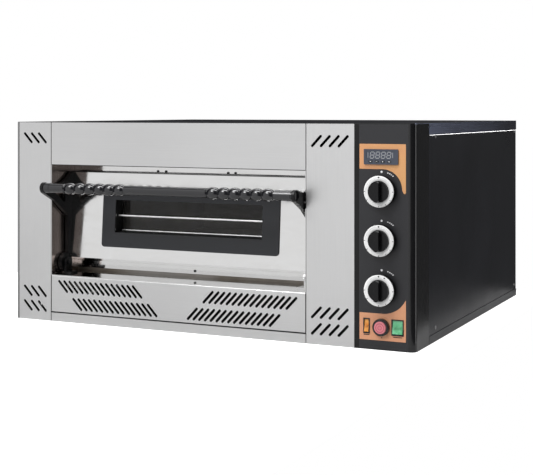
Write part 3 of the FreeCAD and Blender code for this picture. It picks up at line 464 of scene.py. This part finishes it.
def merge(name, meshes):
    """Joins several meshes into one."""
    shape = bmesh.new()
    for mesh in meshes:
        shape.from_mesh(mesh)
    joined = bpy.data.meshes.new(name)
    shape.to_mesh(joined)
    shape.free()
    return joined


# ---- materials by CAD node ----
MATERIALS = {
    "stile": brushed_steel("brushed_stainless_upright", 0.66, "z", 0.38),
    "panel": brushed_steel("brushed_stainless_level", 0.66, "x"),
    "trim": brushed_steel("brushed_trim_steel", 0.27, "z", 0.30),
    "door": polished_steel("polished_door_steel", 0.755, 0.09),
    "recess": polished_steel("polished_recess_steel", 0.66, 0.06, "z"),
    "reveal": streaked_steel("browned_reveal_steel"),
    # heat-stain clouds over a dark tone that is painted shadow, for the mouth plate's foot under the step
    "shade": stained_steel("painted_shade_foot_steel", 0.34),
    "mouth": polished_steel("polished_mouth_steel", 0.72, 0.06),
    "zinc": plain_steel("zinc_sheet"),
    "bright": plain_steel("bright_rod_steel", 0.85),
    "hem": brushed_steel("bright_hem_steel", 0.92, "y", 0.30),
    "chamber": stained_steel("heat_stained_steel", 0.42),
    "black": powder_coat("black_powder_coat", (0.006, 0.0065, 0.010), 0.32, 0.20),
    # matt black: painted shade on inner faces, slot walls, gaps and the window tunnel; also used on the bay
    # wall, the column housing's left strip and the column face's edge print
    "void": powder_coat("matt_black_painted_shade", (0.004, 0.004, 0.004), 0.85, 0.10),
    # the cover's skirt colour is a painted reflection
    "cover": painted_reflection_sheet("cover_sheet_painted_reflection"),
    "charcoal": powder_coat("charcoal_panel_paint", (0.013, 0.013, 0.016), 0.45, 0.12),
    "bezel": powder_coat("charcoal_window_frame_paint", (0.008, 0.009, 0.012), 0.40, 0.10),
    "gloss": moulded("black_column_paint", (0.006, 0.006, 0.007), 0.20, 0.05),
    "cast": cast_enamel("black_enamelled_casting", (0.003, 0.003, 0.0035)),
    "grip": moulded("black_grip_lacquer", (0.005, 0.005, 0.007), 0.08, 0.03, 0.6, 0.5),
    "knob": moulded("black_knob_plastic", (0.006, 0.006, 0.007), 0.22, 0.10, 0.0, 0.22),
    "switch": moulded("black_switch_plastic", (0.010, 0.010, 0.010), 0.28, 0.10),
    "display": moulded("blue_grey_display_plastic", (0.042, 0.052, 0.078), 0.30, 0.08, 0.3),
    "key": moulded("dark_key_rubber", (0.012, 0.018, 0.024), 0.35, 0.10),
    "white": moulded("white_dial_print", (0.88, 0.88, 0.88), 0.35, 0.03),
    "mark": moulded("black_dial_print", (0.010, 0.010, 0.010), 0.5, 0.03),
    "pale": moulded("pale_panel_print", (0.92, 0.92, 0.94), 0.5, 0.03),
    "segment": moulded("unlit_display_segment", (0.33, 0.34, 0.36), 0.4, 0.03),
    "amber": lamp_plastic("amber_switch_cap", tint(0.70, 0.24, 0.02), tint(0.85, 0.38, 0.05)),
    "green": lamp_plastic("green_switch_cap", tint(0.07, 0.42, 0.17), tint(0.20, 0.62, 0.34)),
    "red": moulded("red_button_cap", (0.66, 0.20, 0.23), 0.42, 0.05),
    "rose": moulded("red_button_ring", (0.42, 0.08, 0.11), 0.42, 0.05),
    "orange": printed_film("orange_label_film", tint(0.72, 0.35, 0.10), tint(0.68, 0.29, 0.10)),
    "salmon": printed_film("salmon_label_film", tint(0.68, 0.30, 0.13), tint(0.64, 0.26, 0.12)),
    "glass": pane_glass("window_pane_glass", 0.30, 0.045),
    "clay": fireclay("baking_stone"),
    "wool": fibre("mineral_wool"),
    "rubber": rubber("seal_rubber"),
    "brass": brass("tap_brass"),
}
DRESS = {
    "stile": ("front_stile_left", "front_stile_right"),
    "panel": ("lintel_panel", "lower_vent_panel", "base_pan"),
    "door": ("door_front",),
    "recess": ("recess_surround",),
    "mouth": ("mouth_plate",),
    "zinc": ("flue_spigot", "door_back", "stone_frame", "gas_manifold", "casing_screws"),
    "void": ("bay_wall",),
    "trim": ("corner_trim_left",),
    "cover": ("top_cover",),
    "bright": ("window_rods",),
    "chamber": ("chamber_liner", "ceiling_plate", "floor_burner", "roof_burner", "thermocouple"),
    "black": ("side_panel_left", "side_panel_right", "back_panel"),
    "gloss": ("control_housing",),
    "charcoal": ("control_face",),
    "bezel": ("window_bezel",),
    "cast": ("handle_arm_left", "handle_arm_right", "hinge_brackets"),
    "grip": ("handle_bar",),
    "knob": ("knob_1", "knob_2", "knob_3"),
    "switch": ("rocker_frames", "push_button_ring", "cable_gland"),
    "display": ("display_module",),
    "key": ("display_key_1", "display_key_2", "display_key_3", "display_key_4"),
    "amber": ("amber_rocker",),
    "green": ("green_rocker",),
    "red": ("push_button",),
    "glass": ("window_glass",),
    "clay": ("deck_stone_left", "deck_stone_right"),
    "wool": ("insulation_top_back", "insulation_sides", "door_insulation"),
    "rubber": ("door_gasket",),
    "brass": ("gas_tap_1", "gas_tap_2", "thermostat", "tap_stem_1", "tap_stem_2", "gas_inlet"),
}


def dress():
    """Gives every CAD node its main material, and stops if one has none."""
    for key, names in DRESS.items():
        for name in names:
            data = NODES[name].data
            data.materials.clear()
            data.materials.append(MATERIALS[key])
    bare = sorted(set(NODES) - {name for names in DRESS.values() for name in names})
    if bare:
        raise ValueError("no material for %s" % bare)


def repaint(node, key, wanted):
    """Gives another material to the faces of a CAD node that a test on centre and normal picks."""
    data = NODES[node].data
    data.materials.append(MATERIALS[key])
    for face in data.polygons:
        if wanted(face.center, face.normal):
            face.material_index = len(data.materials) - 1


def second_finishes():
    """Faces with a finish other than their node's own, mostly edges, inner faces and the cover's top; the
    matt black on inner faces, edges and gaps is painted shade.
    """
    repaint("hinge_brackets", "stile", lambda centre, normal: centre.x > 0)  # the right-hand one; it takes brushed steel to read as light as the sill beside it while the left one keeps black enamel, a painted light and shade on one pair of parts
    pan_front = low("base_pan").y + 3 * MM
    repaint("base_pan", "black", lambda centre, normal: centre.y > pan_front)
    mouth = high("mouth_plate").y + 5 * MM
    repaint("casing_screws", "switch", lambda centre, normal: centre.y < mouth and centre.x < FACE_X0)
    bezel0 = low("window_bezel")
    bezel1 = high("window_bezel")
    skin = low("door_back").y
    sheet = high("door_back").y - 3 * MM
    # painted shade: the window tunnel's inner faces are matt black for the dark seen through the pane
    repaint("door_back", "void", lambda centre, normal: centre.y < sheet and bezel0.x < centre.x < bezel1.x
            and bezel0.z < centre.z < bezel1.z and centre.y >= skin)
    lip = low("top_cover").y + 5 * MM
    repaint("top_cover", "gloss", lambda centre, normal: normal.y < -0.5 and centre.y < lip)
    repaint("top_cover", "black", lambda centre, normal: normal.z > 0.5)
    repaint("recess_surround", "reveal", lambda centre, normal: abs(normal.x) > 0.5)
    inner0 = low("recess_surround") + Vector((1, 0, 1)) * 0.4 * MM
    inner1 = high("recess_surround") - Vector((1, 0, 1)) * 0.4 * MM
    front = inner0.y + 0.4 * MM  # everything outside the recess itself, behind the front
    # painted shade: the recess sheet's faces outside the recess, behind the front, are matt black
    repaint("recess_surround", "void", lambda centre, normal: centre.y > front and not
            (inner0.x < centre.x < inner1.x and inner0.z < centre.z < inner1.z))
    # painted shade: the trim's inner face, seen through the stile's slots, is matt black
    repaint("corner_trim_left", "void", lambda centre, normal: normal.x > 0.5 and centre.x < LOW.x + 3 * MM)
    # painted shadow: the soffit's front edge is matt black for the shadow gap under the lintel
    soffit = high("recess_surround").z - 2 * MM
    repaint("recess_surround", "void", lambda centre, normal: normal.y < -0.5 and centre.z > soffit)
    # painted shadow: below the step the mouth plate gets the darker browned steel, standing in for the
    # step's shade and its reflection in the sill
    foot = high("lower_vent_panel").z + 8.6 * MM
    repaint("mouth_plate", "shade", lambda centre, normal: centre.z < foot)
    joint = FACE_X0 - 0.1 * MM
    repaint("control_housing", "void", lambda centre, normal: centre.x < joint)
    # painted shade: every face behind the front of the stiles and vent panel, slot walls too, is matt black
    for name in ("front_stile_left", "front_stile_right", "lower_vent_panel"):
        back = low(name).y + 0.4 * MM
        repaint(name, "void", lambda centre, normal, back=back: centre.y > back)


# ---- control column details ----
def label_films():
    """Two printed films with a concave edge that follows the nearest knob."""
    top_knob = middle("knob_1")
    low_knob = middle("knob_3")
    left = FACE_X0 + 3.4 * MM
    right = FACE_X1 - 5.3 * MM
    display0 = low("display_module")
    display1 = high("display_module")
    head = display1.z + 10.8 * MM
    radius = 43 * MM
    tail = right - 4.5 * MM
    foot = top_knob.z - 4 * MM
    curve = arc(top_knob.x + 2 * MM, top_knob.z + 3 * MM, radius, 0, 90)
    edge = [(left, head), (left, display0.z - 9.5 * MM)] + curve[::-1]
    edge += [(tail, foot), (right - 1.5 * MM, foot - 1 * MM), (right, foot + 2 * MM), (right, head)]
    hole = rectangle(display0.x + 1 * MM, display1.x - 1 * MM, display0.z + 1 * MM, display1.z - 1 * MM)
    printed("label_film_upper", [edge, hole], FRONT_Y, FILM, "orange", "oven")

    base = 20 * MM
    radius = 55 * MM
    centre = (low_knob.x + 3 * MM, low_knob.z + 5 * MM)
    reach = math.degrees(math.acos((right - 1 * MM - centre[0]) / radius))
    curve = arc(centre[0], centre[1], radius, -90, -reach)
    edge = [(left, base), (left, centre[1] - radius)] + curve + [(right, curve[-1][1]), (right, base)]
    button = middle("push_button_ring")
    holes = [arc(button.x, button.z, 15 * MM, 0, 350, 35)]
    for cap in ("amber_rocker", "green_rocker"):
        a = low(cap)
        b = high(cap)
        holes.append(rectangle(a.x - 1 * MM, b.x + 1 * MM, a.z - 1 * MM, b.z + 1 * MM))
    printed("label_film_lower", [edge] + holes, FRONT_Y, FILM, "salmon", "oven")


def column_prints():
    """The black edge of the column face, and a short dash under each switch."""
    left = [rectangle(FACE_X0 - 0.1 * MM, FACE_X0 + 2.4 * MM, LOW.z + 1 * MM, high("control_face").z)]
    printed("column_edge_print", left, FRONT_Y, 0.15 * MM, "void", "oven")
    dashes = []
    for name, half, drop in (("amber_rocker", 6.5, 5.0), ("push_button_ring", 1.5, 4.0),
                             ("green_rocker", 9.5, 5.5)):
        x = middle(name).x
        z = low(name).z - drop * MM
        dashes.append(rectangle(x - half * MM, x + half * MM, z - 0.9 * MM, z + 0.9 * MM))
    printed("switch_dashes", dashes, FRONT_Y - FILM, THIN_PRINT, "mark", "oven")


def cover_hem():
    """The bright drip edge along the foot of the cover's skirt, on both sides."""
    section = ((1.6, 0.0), (0.8, -1.0), (0.05, -2.0), (0.05, -2.5), (1.6, -2.8))
    skirt_foot = low("top_cover").z
    front = low("side_panel_right").y + 4 * MM
    back = high("top_cover").y - 1 * MM
    for side, face in ((1, HIGH.x), (-1, LOW.x)):
        edge = bmesh.new()
        rings = []
        for y in (front, back):
            rings.append([edge.verts.new((face - side * inset * MM, y, skirt_foot + up * MM))
                          for inset, up in section])
        for i in range(len(section)):
            j = (i + 1) % len(section)
            edge.faces.new([rings[0][i], rings[0][j], rings[1][j], rings[1][i]])
        edge.faces.new(rings[0])
        edge.faces.new(rings[1][::-1])
        bmesh.ops.recalc_face_normals(edge, faces=edge.faces)
        name = "cover_hem_right" if side > 0 else "cover_hem_left"
        mesh = bpy.data.meshes.new(name)
        edge.to_mesh(mesh)
        edge.free()
        own(name, mesh, "hem", "oven")


def edge_strips():
    """A black rubber strip along the door's head that paints the shadow in the gap above the door, the
    bright fold on the vent panel, and a matt black strip of painted shade inside the corner trim's back
    edge.
    """
    a, b = low("door_front"), high("door_front")
    y = high("window_bezel").y + 4 * MM
    # painted shadow: a black rubber strip on the door's head stands in for the dark gap above the door
    mesh = strip("door_head_shadow_strip", (a.x + 2 * MM, y, b.z - 0.4 * MM),
                 (b.x - 2 * MM, y + 8 * MM, b.z + 0.9 * MM))
    own("door_head_shadow_strip", mesh, "rubber", "door")

    a, b = low("lower_vent_panel"), high("lower_vent_panel")
    mesh = strip("vent_panel_fold", (a.x, a.y - 0.3 * MM, b.z - 1.4 * MM),
                 (b.x, a.y + 0.5 * MM, b.z + 0.2 * MM), 0.9 * MM)
    own("vent_panel_fold", mesh, "hem", "oven")

    a, b = low("corner_trim_left"), high("corner_trim_left")
    # painted shade: a matt black strip inside the corner trim's back edge, for the dark seen past it
    mesh = strip("trim_painted_shade_strip", (a.x + 1.6 * MM, b.y - 8 * MM, a.z + 24 * MM),
                 (a.x + 2.2 * MM, b.y + 8 * MM, b.z - 4 * MM))
    own("trim_painted_shade_strip", mesh, "void", "oven")


def display_digits():
    """Four unlit seven-segment digits and two small signs behind the display window."""
    box0 = low("display_module")
    box1 = high("display_module")
    back = box0.y + 0.8 * MM
    tall = 13 * MM
    wide = 8.2 * MM
    bar = 1.7 * MM
    pitch = 12.2 * MM
    start = box0.x + 13.5 * MM
    foot = box1.z - 6 * MM - tall
    slant = 0.14
    loops = []

    def segment(x, z, length, level):
        half = bar / 2
        if level:
            points = [(x, z), (x + half, z + half), (x + length - half, z + half), (x + length, z),
                      (x + length - half, z - half), (x + half, z - half)]
        else:
            points = [(x, z), (x + half, z + half), (x + half, z + length - half), (x, z + length),
                      (x - half, z + length - half), (x - half, z + half)]
        loops.append([(px + (pz - foot) * slant, pz) for px, pz in points])

    for i in range(4):
        x = start + i * pitch
        for row in range(3):
            segment(x + 0.4 * MM, foot + row * tall / 2, wide - 0.8 * MM, True)
        for column in (x, x + wide):
            for row in range(2):
                segment(column, foot + row * tall / 2 + 0.4 * MM, tall / 2 - 0.8 * MM, False)
    for side in (start - 5 * MM, start + 4 * pitch + 0.5 * MM):
        loops.append(rectangle(side, side + 1.2 * MM, foot + 1 * MM, foot + tall - 1 * MM))
    printed("display_digits", loops, back, PRINT, "segment", "oven")


def key_signs():
    """A small printed sign on each display key: arrow, dash, dot and double bar."""
    half = 1.0 * MM
    for i in range(1, 5):
        key = "display_key_%d" % i
        centre = middle(key)
        front = low(key).y
        x, z = centre.x, centre.z
        signs = {1: [[(x - 1.6 * half, z), (x + half, z - half), (x + half, z + half)]],
                 2: [rectangle(x - 1.6 * half, x + 1.6 * half, z - 0.25 * half, z + 0.25 * half)],
                 3: [arc(x, z, half, 0, 345, 23)],
                 4: [rectangle(x - 2 * half, x - 0.3 * half, z - 0.7 * half, z + 0.7 * half),
                     rectangle(x + 0.3 * half, x + 2 * half, z - 0.7 * half, z + 0.7 * half)]}
        printed("key_sign_%d" % i, signs[i], front, THIN_PRINT, "pale", "key_%d" % i)


def knob_dials():
    """White rings on the knob skirts, their marks, and an index dot and a dash print above each."""
    bodies = {1: "tap_knob_1", 2: "tap_knob_2", 3: "thermostat_knob"}
    skirt = 13.5 * MM
    pip_ring = 29.5 * MM
    dot_ring = 40.4 * MM
    dash_ring = 40.6 * MM
    profile = [(22.6, 0.1), (22.6, -0.5), (23.2, -0.9), (27.6, -0.9), (28.0, -0.6), (28.6, -0.6),
               (29.0, -0.9), (31.8, -0.8), (32.6, -0.3), (32.8, 0.1)]
    for i, body in bodies.items():
        knob = "knob_%d" % i
        centre = middle(knob)
        front = high(knob).y - skirt
        seat = Vector((centre.x, front, centre.z))
        ring = turned("knob_ring_%d" % i, profile, seat, 96)
        own("knob_ring_%d" % i, ring, "white", body)
        marks = [arc(centre.x, centre.z + pip_ring, 1.7 * MM, 0, 340, 17)]
        if i == 3:
            lean = math.radians(65)
            marks.append(arc(centre.x + pip_ring * math.cos(lean), centre.z + pip_ring * math.sin(lean),
                             1.5 * MM, 0, 340, 17))
        for angle in (0, -60, -90, 180, 215, 325):
            a = math.radians(angle)
            along = Vector((math.cos(a), math.sin(a)))
            across = Vector((-along.y, along.x)) * 0.5 * MM
            near = along * 29.4 * MM
            far = along * 32.4 * MM
            hub = Vector((centre.x, centre.z))
            marks.append([tuple(hub + p) for p in (near + across, far + across, far - across,
                                                   near - across)])
        printed("knob_marks_%d" % i, marks, front - 0.85 * MM, PRINT, "mark", body)
        signs = [arc(centre.x, centre.z + dot_ring, 2.3 * MM, 0, 345, 23)]
        for angle in (70, 64, 58, 52):
            a = math.radians(angle)
            along = Vector((math.cos(a), math.sin(a))) * dash_ring
            turns = [math.radians(30 * k) for k in range(12)]
            signs.append([(centre.x + along.x + 1.7 * MM * math.cos(t),
                           centre.z + along.y + 1.1 * MM * math.sin(t)) for t in turns])
        printed("panel_dot_%d" % i, signs, FRONT_Y, FILM, "pale", "oven")


# ---- switches and button ----
def button_rings():
    """Two shallow rings moulded into the push button's cap."""
    cap = middle("push_button")
    front = low("push_button").y
    seat = Vector((cap.x, front, cap.z))
    for name, inner, outer, segments in (("button_cap_ring", 8.2, 9.4, 64),
                                         ("button_inner_ring", 3.4, 4.4, 48)):
        profile = [(inner, 0.25), (inner, -0.12), (outer, -0.12), (outer, 0.25)]
        own(name, turned(name, profile, seat, segments), "rose", "button_cap")


def rocker_lines():
    """Three raised grips across the middle of each rocker cap."""
    for name, body, key in (("amber_rocker", "amber_rocker_cap", "amber"),
                            ("green_rocker", "green_rocker_cap", "green")):
        a, b = low(name), high(name)
        mid = middle(name)
        inset = 1.6 * MM
        bars = [rectangle(a.x + inset, b.x - inset, mid.z + k * 1.7 * MM - 0.35 * MM,
                          mid.z + k * 1.7 * MM + 0.35 * MM) for k in (-1, 0, 1)]
        printed(name + "_grip", bars, a.y + 2.2 * MM, 1.0 * MM, key, body)


# ---- screws and hub ----
def cross_slots(name, places, half_long, body):
    """Dark crosses in a row of screw heads that face the front."""
    half = Vector((half_long, 0.06 * MM, half_long * 0.16))
    meshes = []
    for place in places:
        for turn in (20, 110):
            mesh = strip(name, -half, half)
            mesh.transform(Matrix.Rotation(math.radians(turn), 4, "Y"))
            mesh.transform(Matrix.Translation(place))
            meshes.append(mesh)
    own(name, merge(name, meshes), "mark", body)


def bezel_screws():
    """Countersunk screws in the door's window frame, two below and two above."""
    a, b = low("window_bezel"), high("window_bezel")
    span = b.z - a.z
    lean = math.radians(4.3)
    heads = []
    slots = []
    for x in (80, 382):
        for up in (10, span / MM - 12):
            z = a.z + up * MM
            y = a.y + (z - a.z) * math.tan(lean)
            spot = Vector((a.x + x * MM, y, z))
            profile = [(0.0, -0.25), (2.6, -0.2), (3.4, 0.0), (3.4, 0.6), (0.0, 0.6)]
            head = turned("bezel_screw", profile, Vector((0, 0, 0)), 32, closed=False)
            head.transform(Matrix.Rotation(-lean, 4, "X"))
            head.transform(Matrix.Translation(spot))
            heads.append(head)
            slots.append(spot + Vector((0, -0.3 * MM, 0)))
    own("bezel_screws", merge("bezel_screws", heads), "black", "door")
    cross_slots("bezel_screw_slots", slots, 1.9 * MM, "door")


def hub_caps():
    """Washers on the handle arms' hubs, and a ringed six-sided head on the outer end of each fixed pin."""
    washer = [(12.0, 0.3), (12.0, -1.4), (15.0, -1.4), (16.2, -0.6), (16.2, 0.3)]
    nut = [(0.0, 0.4), (0.0, -2.6), (6.6, -2.6), (7.8, -1.8), (7.8, 0.4)]
    rim = [(8.4, 0.4), (8.4, -1.2), (9.6, -1.2), (9.6, 0.4)]
    axis_y = middle("hinge_brackets").y
    axis_z = high("hinge_brackets").z - 12 * MM
    for side, arm in ((-1, "handle_arm_left"), (1, "handle_arm_right")):
        face = low(arm).x if side < 0 else high(arm).x
        tip = low("hinge_brackets").x if side < 0 else high("hinge_brackets").x
        for name, profile, count, place, body, key in (("hub_washer", washer, 64, face, "door", "cast"),
                                                       ("hub_bolt", nut, 6, tip, "oven", "cast"),
                                                       ("hub_rim", rim, 48, tip, "oven", "zinc")):
            mesh = turned(name, profile, Vector((0, 0, 0)), count, closed=name != "hub_bolt")
            mesh.transform(Matrix.Rotation(math.radians(-90 if side < 0 else 90), 4, "Z"))
            mesh.transform(Matrix.Translation(Vector((place, axis_y, axis_z))))
            label = "%s_%s" % (name, arm.split("_")[-1])
            own(label, mesh, key, body)


# ---- studio ----
def studio():
    """White surroundings for the eye, and a dim room with bright panels for the reflections."""
    world = bpy.data.worlds.new("studio_room")
    bpy.context.scene.world = world
    world.use_nodes = True
    tree = world.node_tree
    nodes = tree.nodes
    nodes.clear()

    def add(kind, **settings):
        """Adds a node with settings as attributes."""
        node = nodes.new(kind)
        for key, value in settings.items():
            setattr(node, key, value)
        return node

    place = add("ShaderNodeTexCoord")
    parts = add("ShaderNodeSeparateXYZ")
    tree.links.new(place.outputs["Generated"], parts.inputs[0])
    flat = add("ShaderNodeCombineXYZ")
    tree.links.new(parts.outputs["X"], flat.inputs["X"])
    tree.links.new(parts.outputs["Y"], flat.inputs["Y"])
    unit = add("ShaderNodeVectorMath", operation="NORMALIZE")
    tree.links.new(flat.outputs[0], unit.inputs[0])

    def toward(x, y, near, far, value):
        """A soft-edged sector of the horizon in one direction, as a brightness."""
        dot = add("ShaderNodeVectorMath", operation="DOT_PRODUCT")
        tree.links.new(unit.outputs[0], dot.inputs[0])
        dot.inputs[1].default_value = Vector((x, y, 0)).normalized()
        ramp = add("ShaderNodeMapRange", interpolation_type="SMOOTHSTEP")
        tree.links.new(dot.outputs["Value"], ramp.inputs["Value"])
        ramp.inputs["From Min"].default_value = math.cos(math.radians(far))
        ramp.inputs["From Max"].default_value = math.cos(math.radians(near))
        ramp.inputs["To Max"].default_value = value
        return ramp.outputs["Result"]

    def plus(a, b, operation="ADD"):
        """One arithmetic step, a sum unless told otherwise; b is a socket or a number."""
        node = add("ShaderNodeMath", operation=operation)
        tree.links.new(a, node.inputs[0])
        if isinstance(b, (int, float)):
            node.inputs[1].default_value = b
        else:
            tree.links.new(b, node.inputs[1])
        return node.outputs[0]

    ambient = 0.025
    glow = plus(toward(-0.43, -0.905, 22, 44, 0.89), ambient)
    for sector in ((0.5, 0.87, 20, 60, 0.035), (0.5, -0.87, 25, 60, 0.10), (0.92, 0.39, 6, 14, 1.8)):
        glow = plus(glow, toward(*sector))
    rise = add("ShaderNodeMapRange", interpolation_type="SMOOTHSTEP")
    tree.links.new(parts.outputs["Z"], rise.inputs["Value"])
    rise.inputs["From Min"].default_value = 0.45
    rise.inputs["From Max"].default_value = 0.95
    rise.inputs["To Max"].default_value = 0.5
    glow = plus(glow, rise.outputs["Result"])
    room = add("ShaderNodeBackground")
    colour = add("ShaderNodeCombineColor")
    for channel, gain in (("Red", 0.995), ("Green", 0.995), ("Blue", 1.0)):
        tree.links.new(plus(glow, gain, "MULTIPLY"), colour.inputs[channel])
    tree.links.new(colour.outputs[0], room.inputs["Color"])
    seen = add("ShaderNodeBackground")
    seen.inputs["Color"].default_value = grey(1.0)
    path = add("ShaderNodeLightPath")
    either = add("ShaderNodeMixShader")
    tree.links.new(path.outputs["Is Camera Ray"], either.inputs[0])
    tree.links.new(room.outputs[0], either.inputs[1])
    tree.links.new(seen.outputs[0], either.inputs[2])
    out = add("ShaderNodeOutputWorld")
    tree.links.new(either.outputs[0], out.inputs[0])
    bpy.context.scene.view_settings.view_transform = "Standard"


def soft_light(name, place, aim, width, height, power):
    """A rectangular studio light at a place, aimed at a point."""
    light = bpy.data.lights.new(name, "AREA")
    light.shape = "RECTANGLE"
    light.size = width
    light.size_y = height
    light.energy = power
    lamp = bpy.data.objects.new(name, light)
    bpy.context.scene.collection.objects.link(lamp)
    lamp.location = place
    lamp.rotation_euler = (Vector(aim) - Vector(place)).to_track_quat("-Z", "Y").to_euler()


def studio_floor():
    """A pale floor just under the oven, plain white to the eye and dimmer in reflections."""
    mesh = bpy.data.meshes.new("studio_floor")
    level = LOW.z - 0.2 * MM
    left, right, front, back = -1.0, 0.58, -1.6, 0.52
    mesh.from_pydata([(left, front, level), (right, front, level), (right, back, level),
                      (left, back, level)], [], [(0, 1, 2, 3)])
    floor = bpy.data.objects.new("studio_floor", mesh)
    bpy.context.scene.collection.objects.link(floor)
    sh = Shade("studio_floor_paint")
    cloud = sh.noise((1, 1, 1), 0.6, 2.0, 0.5)
    seen = sh.add("ShaderNodeLightPath").outputs["Is Camera Ray"]
    sh.shader(Base_Color=sh.mix(cloud, grey(0.52), grey(0.58)), Roughness=0.85)
    sh.shader(Specular_IOR_Level=0.1, Emission_Color=grey(1.0),
              Emission_Strength=sh.span(seen, 0.11, 0.95, 0.0, 1.0))
    mesh.materials.append(sh.material)


def camera():
    """The camera, a long lens a little above the oven's height, shifted to keep uprights upright."""
    lens = bpy.data.cameras.new("main_camera")
    lens.lens = 81.565
    lens.sensor_width = 36.0
    lens.sensor_fit = "HORIZONTAL"
    lens.shift_y = -0.23765
    lens.clip_end = 200.0
    body = bpy.data.objects.new("main_camera", lens)
    bpy.context.scene.collection.objects.link(body)
    body.location = (1.2799, -2.8071, 0.4983)
    body.rotation_euler = (math.radians(90), 0.0, math.radians(25.187))
    bpy.context.scene.camera = body


# ---- everything in its place ----
dress()
second_finishes()
label_films()
column_prints()
cover_hem()
edge_strips()
display_digits()
key_signs()
knob_dials()
button_rings()
rocker_lines()
bezel_screws()
hub_caps()
studio()
soft_light("key_light", (-0.7, -2.9, 2.7), (0.1, -0.4, 0.2), 1.4, 0.9, 46)
soft_light("strip_light", (0.1, -1.1, 2.2), (0, -0.45, 0.3), 1.8, 0.25, 22)
soft_light("rim_light", (2.2, 1.3, 2.2), (0.3, 0.2, 0.3), 0.5, 1.6, 14)
soft_light("back_light", (0.87, 2.85, 1.35), (0.4, 0, 0.4), 1.3, 0.6, 14)
studio_floor()
camera()
